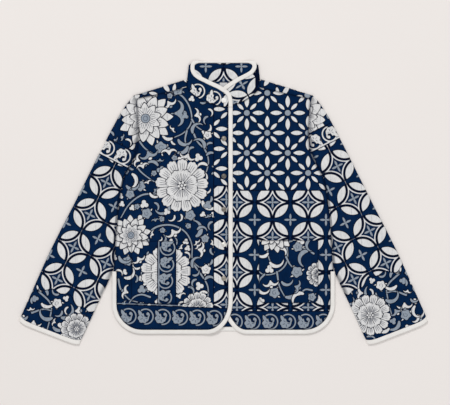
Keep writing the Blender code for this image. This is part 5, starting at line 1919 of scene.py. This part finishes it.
# %% A cuff's binding, a ring round the sleeve's end
CUFF_STATIONS = ((0.0, -0.3), (0.0, 0.25), (0.06, 0.42), (0.3, 0.5), (0.6, 0.5), (0.85, 0.42),
                 (0.96, 0.1), (1.0, -0.6))  # share of its width, and how far it stands proud
CUFF_RIPPLE, CUFF_RIB, CUFF_COLUMNS = 0.1, 0.06, 81


def make_cuff_binding(side):
    stations = np.array([0.0, 0.5, 1.0])
    grid, out, back = (part[-1] for part in sleeve_plan(side, stations, CUFF_COLUMNS))
    across = grid[-1] - grid[0]
    run = np.array([-across[1], across[0]]) * TURN[side] / np.linalg.norm(across)
    shares = np.array([share for share, _ in CUFF_STATIONS])
    proud = np.array([rise for _, rise in CUFF_STATIONS])[:, None]
    start = grid + run * SEAM
    plan = (start[None] + run * BIND * shares[:, None, None],
            np.tile(out, (len(shares), 1)), np.tile(back, (len(shares), 1)))
    columns = grid.shape[0]
    print(side, "cuff lies", round(float(np.linalg.norm(across)) + 2 * FOLD), "mm wide")
    ripple = CUFF_RIPPLE * rippled(np.arange(columns) * 2.0, TURN[side]) + np.where(
        np.arange(columns) % 2 == 0, CUFF_RIB, -CUFF_RIB)
    outer, _ = sleeve_rings(plan, shares, 0.0, proud + ripple[None])
    inner, _ = sleeve_rings(plan, shares, WALL, np.zeros((len(shares), columns)))
    return tube(f"edging_cuff_{side}", softened(outer, side), softened(inner, side), {}, BOUND)


# %% [markdown]
# ## Snap caps and label
#
# A snap's cap is pressed from thin metal: a rolled rim round a low dome. It is turned, so its
# surface is a profile carried round an axis, with one point where the profile meets the axis. Each
# cap takes its place and size from the solid that it stands for. The label is a plain tape sewn
# down at its ends: a grid over a grid, closed round its rim.

# %% Snap caps
CAP_STEPS = 48
METAL_PROFILE = ((0.97, 0.0), (1.0, 0.14), (1.0, 0.5), (0.96, 0.72), (0.88, 0.82), (0.8, 0.78),
                 (0.75, 0.68), (0.69, 0.7), (0.6, 0.82), (0.42, 0.94), (0.2, 0.99), (0.0, 1.0))
PEARL_PROFILE = ((0.95, 0.0), (1.0, 0.1), (1.0, 0.22), (0.96, 0.34), (0.93, 0.35), (0.92, 0.42),
                 (0.86, 0.58), (0.74, 0.76), (0.56, 0.9), (0.36, 0.97), (0.16, 1.0), (0.0, 1.0))


def make_cap(node, finish):
    """A turned cap: ring k is the profile's k-th radius and height, as shares of the solid's."""
    low, high = (np.array(corner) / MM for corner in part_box(node))
    middle, size = (low + high) / 2, high - low
    profile = PEARL_PROFILE if node == "snap_collar" else METAL_PROFILE
    turn = np.linspace(0.0, 2 * math.pi, CAP_STEPS, endpoint=False)
    ring = np.stack([np.cos(turn), np.sin(turn)], axis=1) * size[0] / 2
    rings = [np.column_stack([ring * r + middle[:2], np.full(CAP_STEPS, low[2] + size[2] * z)])
             for r, z in profile[:-1]]
    poles = [(middle[0], middle[1], low[2]), (middle[0], middle[1], high[2])]
    points = np.vstack(rings + [poles])
    rows = len(rings)
    print(node, "is", round(float(size[0]), 1), "mm across")
    c = np.arange(CAP_STEPS)
    n, last = (c + 1) % CAP_STEPS, (rows - 1) * CAP_STEPS
    foot, tip = np.full(CAP_STEPS, rows * CAP_STEPS), np.full(CAP_STEPS, rows * CAP_STEPS + 1)
    faces = np.vstack([quads(rows, CAP_STEPS, closed=True),
                       np.stack([foot, n, c], 1), np.stack([last + c, last + n, tip], 1)])
    return mesh_of(f"cap_{node}", points, turned_out(points, faces), [finish])


# %% The label
LABEL_GRID, LABEL_ROUND = (37, 23), 8  # points across and down; a high power keeps its corners
LABEL_RIB, LABEL_EDGE, LABEL_BOW = 0.05, 0.3, 0.25  # its ribs, its turned rim and its middle's rise


def make_label():
    """A short tape sewn down at its ends: a rounded slab whose middle bows up very slightly."""
    low, high = (np.array(corner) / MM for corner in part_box("neck_label"))
    middle, size = (low + high) / 2, high - low
    print("the label is", [round(float(x), 1) for x in size], "mm")
    across, down = LABEL_GRID
    u, v = np.meshgrid(np.linspace(-1, 1, across), np.linspace(-1, 1, down))
    edge = np.maximum(np.abs(u) ** LABEL_ROUND, np.abs(v) ** LABEL_ROUND)
    rib = LABEL_RIB * np.where(np.arange(across) % 2 == 0, 1.0, -1.0)[None]
    top = high[2] - LABEL_EDGE * edge + rib * (1 - edge) + LABEL_BOW * (1 - u**2) * (1 - edge)
    x, y = middle[0] + u * size[0] / 2, middle[1] + v * size[1] / 2
    upper = np.stack([x, y, top], axis=-1)
    lower = np.stack([x, y, np.full_like(x, low[2])], axis=-1)
    return mesh_of("tape_label", *slab(upper, lower), [TAPE])


# %% [markdown]
# ## Putting the jacket together
#
# Each piece rides on the jacket's one body, replaces the plain solid of the same cut, and carries
# its finish as its material.

# %% Make every piece
def attach(piece, node):
    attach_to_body(piece, "root")
    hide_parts(node)
    return piece


for side in TURN:
    attach(make_front_binding(side), f"binding_front_{side}")
    attach(make_cuff_binding(side), f"binding_cuff_{side}")
attach(make_back_binding(), "binding_back")
attach(make_collar_binding(), "binding_collar")
label = attach(make_label(), "neck_label")
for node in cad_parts:
    if node.startswith("snap_"):
        pearl = node == "snap_collar"
        attach(make_cap(node, PEARL if pearl else METALS[node]), node)

# %% The cloth pieces
back = attach(make_back(), "back")
for side in TURN:
    front = attach(make_front(side), f"front_{side}")
    pocket = attach(make_pocket(side), f"pocket_{side}")
    sleeve = attach(make_sleeve(side), f"sleeve_{side}")
collar = attach(make_collar(), "collar")

# %% [markdown]
# ## The table, the light and the camera
#
# The photograph looks straight down through a long lens at a jacket on a pale sheet. One broad soft
# light stands above the collar's end, and a weaker one across from it and an even sky fill the
# shadows, which stay faint. The camera stands far off, so hardly any perspective shows.

# %% Table
TABLE_HALF = 30.0  # metres


def make_floor():
    mesh = bpy.data.meshes.new("table")
    corners = [(-1, -1), (1, -1), (1, 1), (-1, 1)]
    mesh.from_pydata([(TABLE_HALF * x, TABLE_HALF * y, 0) for x, y in corners], [], [(0, 1, 2, 3)])
    mesh.materials.append(TABLE)
    floor = bpy.data.objects.new("table", mesh)
    bpy.context.scene.collection.objects.link(floor)


make_floor()
print("the table is", 2 * TABLE_HALF, "m wide")

# %% Light
def soft_light(name, place, aim, size, power, colour):
    lamp = bpy.data.lights.new(name, "AREA")
    lamp.shape, lamp.size, lamp.energy, lamp.color = "DISK", size, power, colour
    holder = bpy.data.objects.new(name, lamp)
    holder.location = place
    holder.rotation_euler = (Vector(aim) - Vector(place)).to_track_quat("-Z", "Y").to_euler()
    bpy.context.scene.collection.objects.link(holder)


WARM, COOL, SKY = (1.0, 0.985, 0.97), (0.96, 0.98, 1.0), 0.60
soft_light("window", (-1.2, 3.5, 5.0), (0, 0, 0), 1.8, 144.0, WARM)
soft_light("fill", (1.8, -1.6, 3.4), (0, 0, 0), 2.6, 23.0, COOL)
world = bpy.data.worlds.new("studio")
world.use_nodes = True
world.node_tree.nodes["Background"].inputs["Color"].default_value = (*WARM, 1.0)
world.node_tree.nodes["Background"].inputs["Strength"].default_value = SKY
bpy.context.scene.world = world
print("lights:", len(bpy.data.lights), "and a sky of strength", SKY)
bpy.context.scene.view_settings.view_transform = "Standard"

# %% Camera
FRAME_WIDE = 1.080  # metres of table across the photograph
CAMERA_UP = 7.0
CAMERA_AT = (0.0036, 0.00235)
view = bpy.data.cameras.new("camera")
view.sensor_width = 36.0
view.lens = view.sensor_width * CAMERA_UP / FRAME_WIDE
view.clip_end = 60.0
camera = bpy.data.objects.new("camera", view)
camera.location = (*CAMERA_AT, CAMERA_UP)
bpy.context.scene.collection.objects.link(camera)
bpy.context.scene.camera = camera
print("lens:", round(view.lens), "mm")
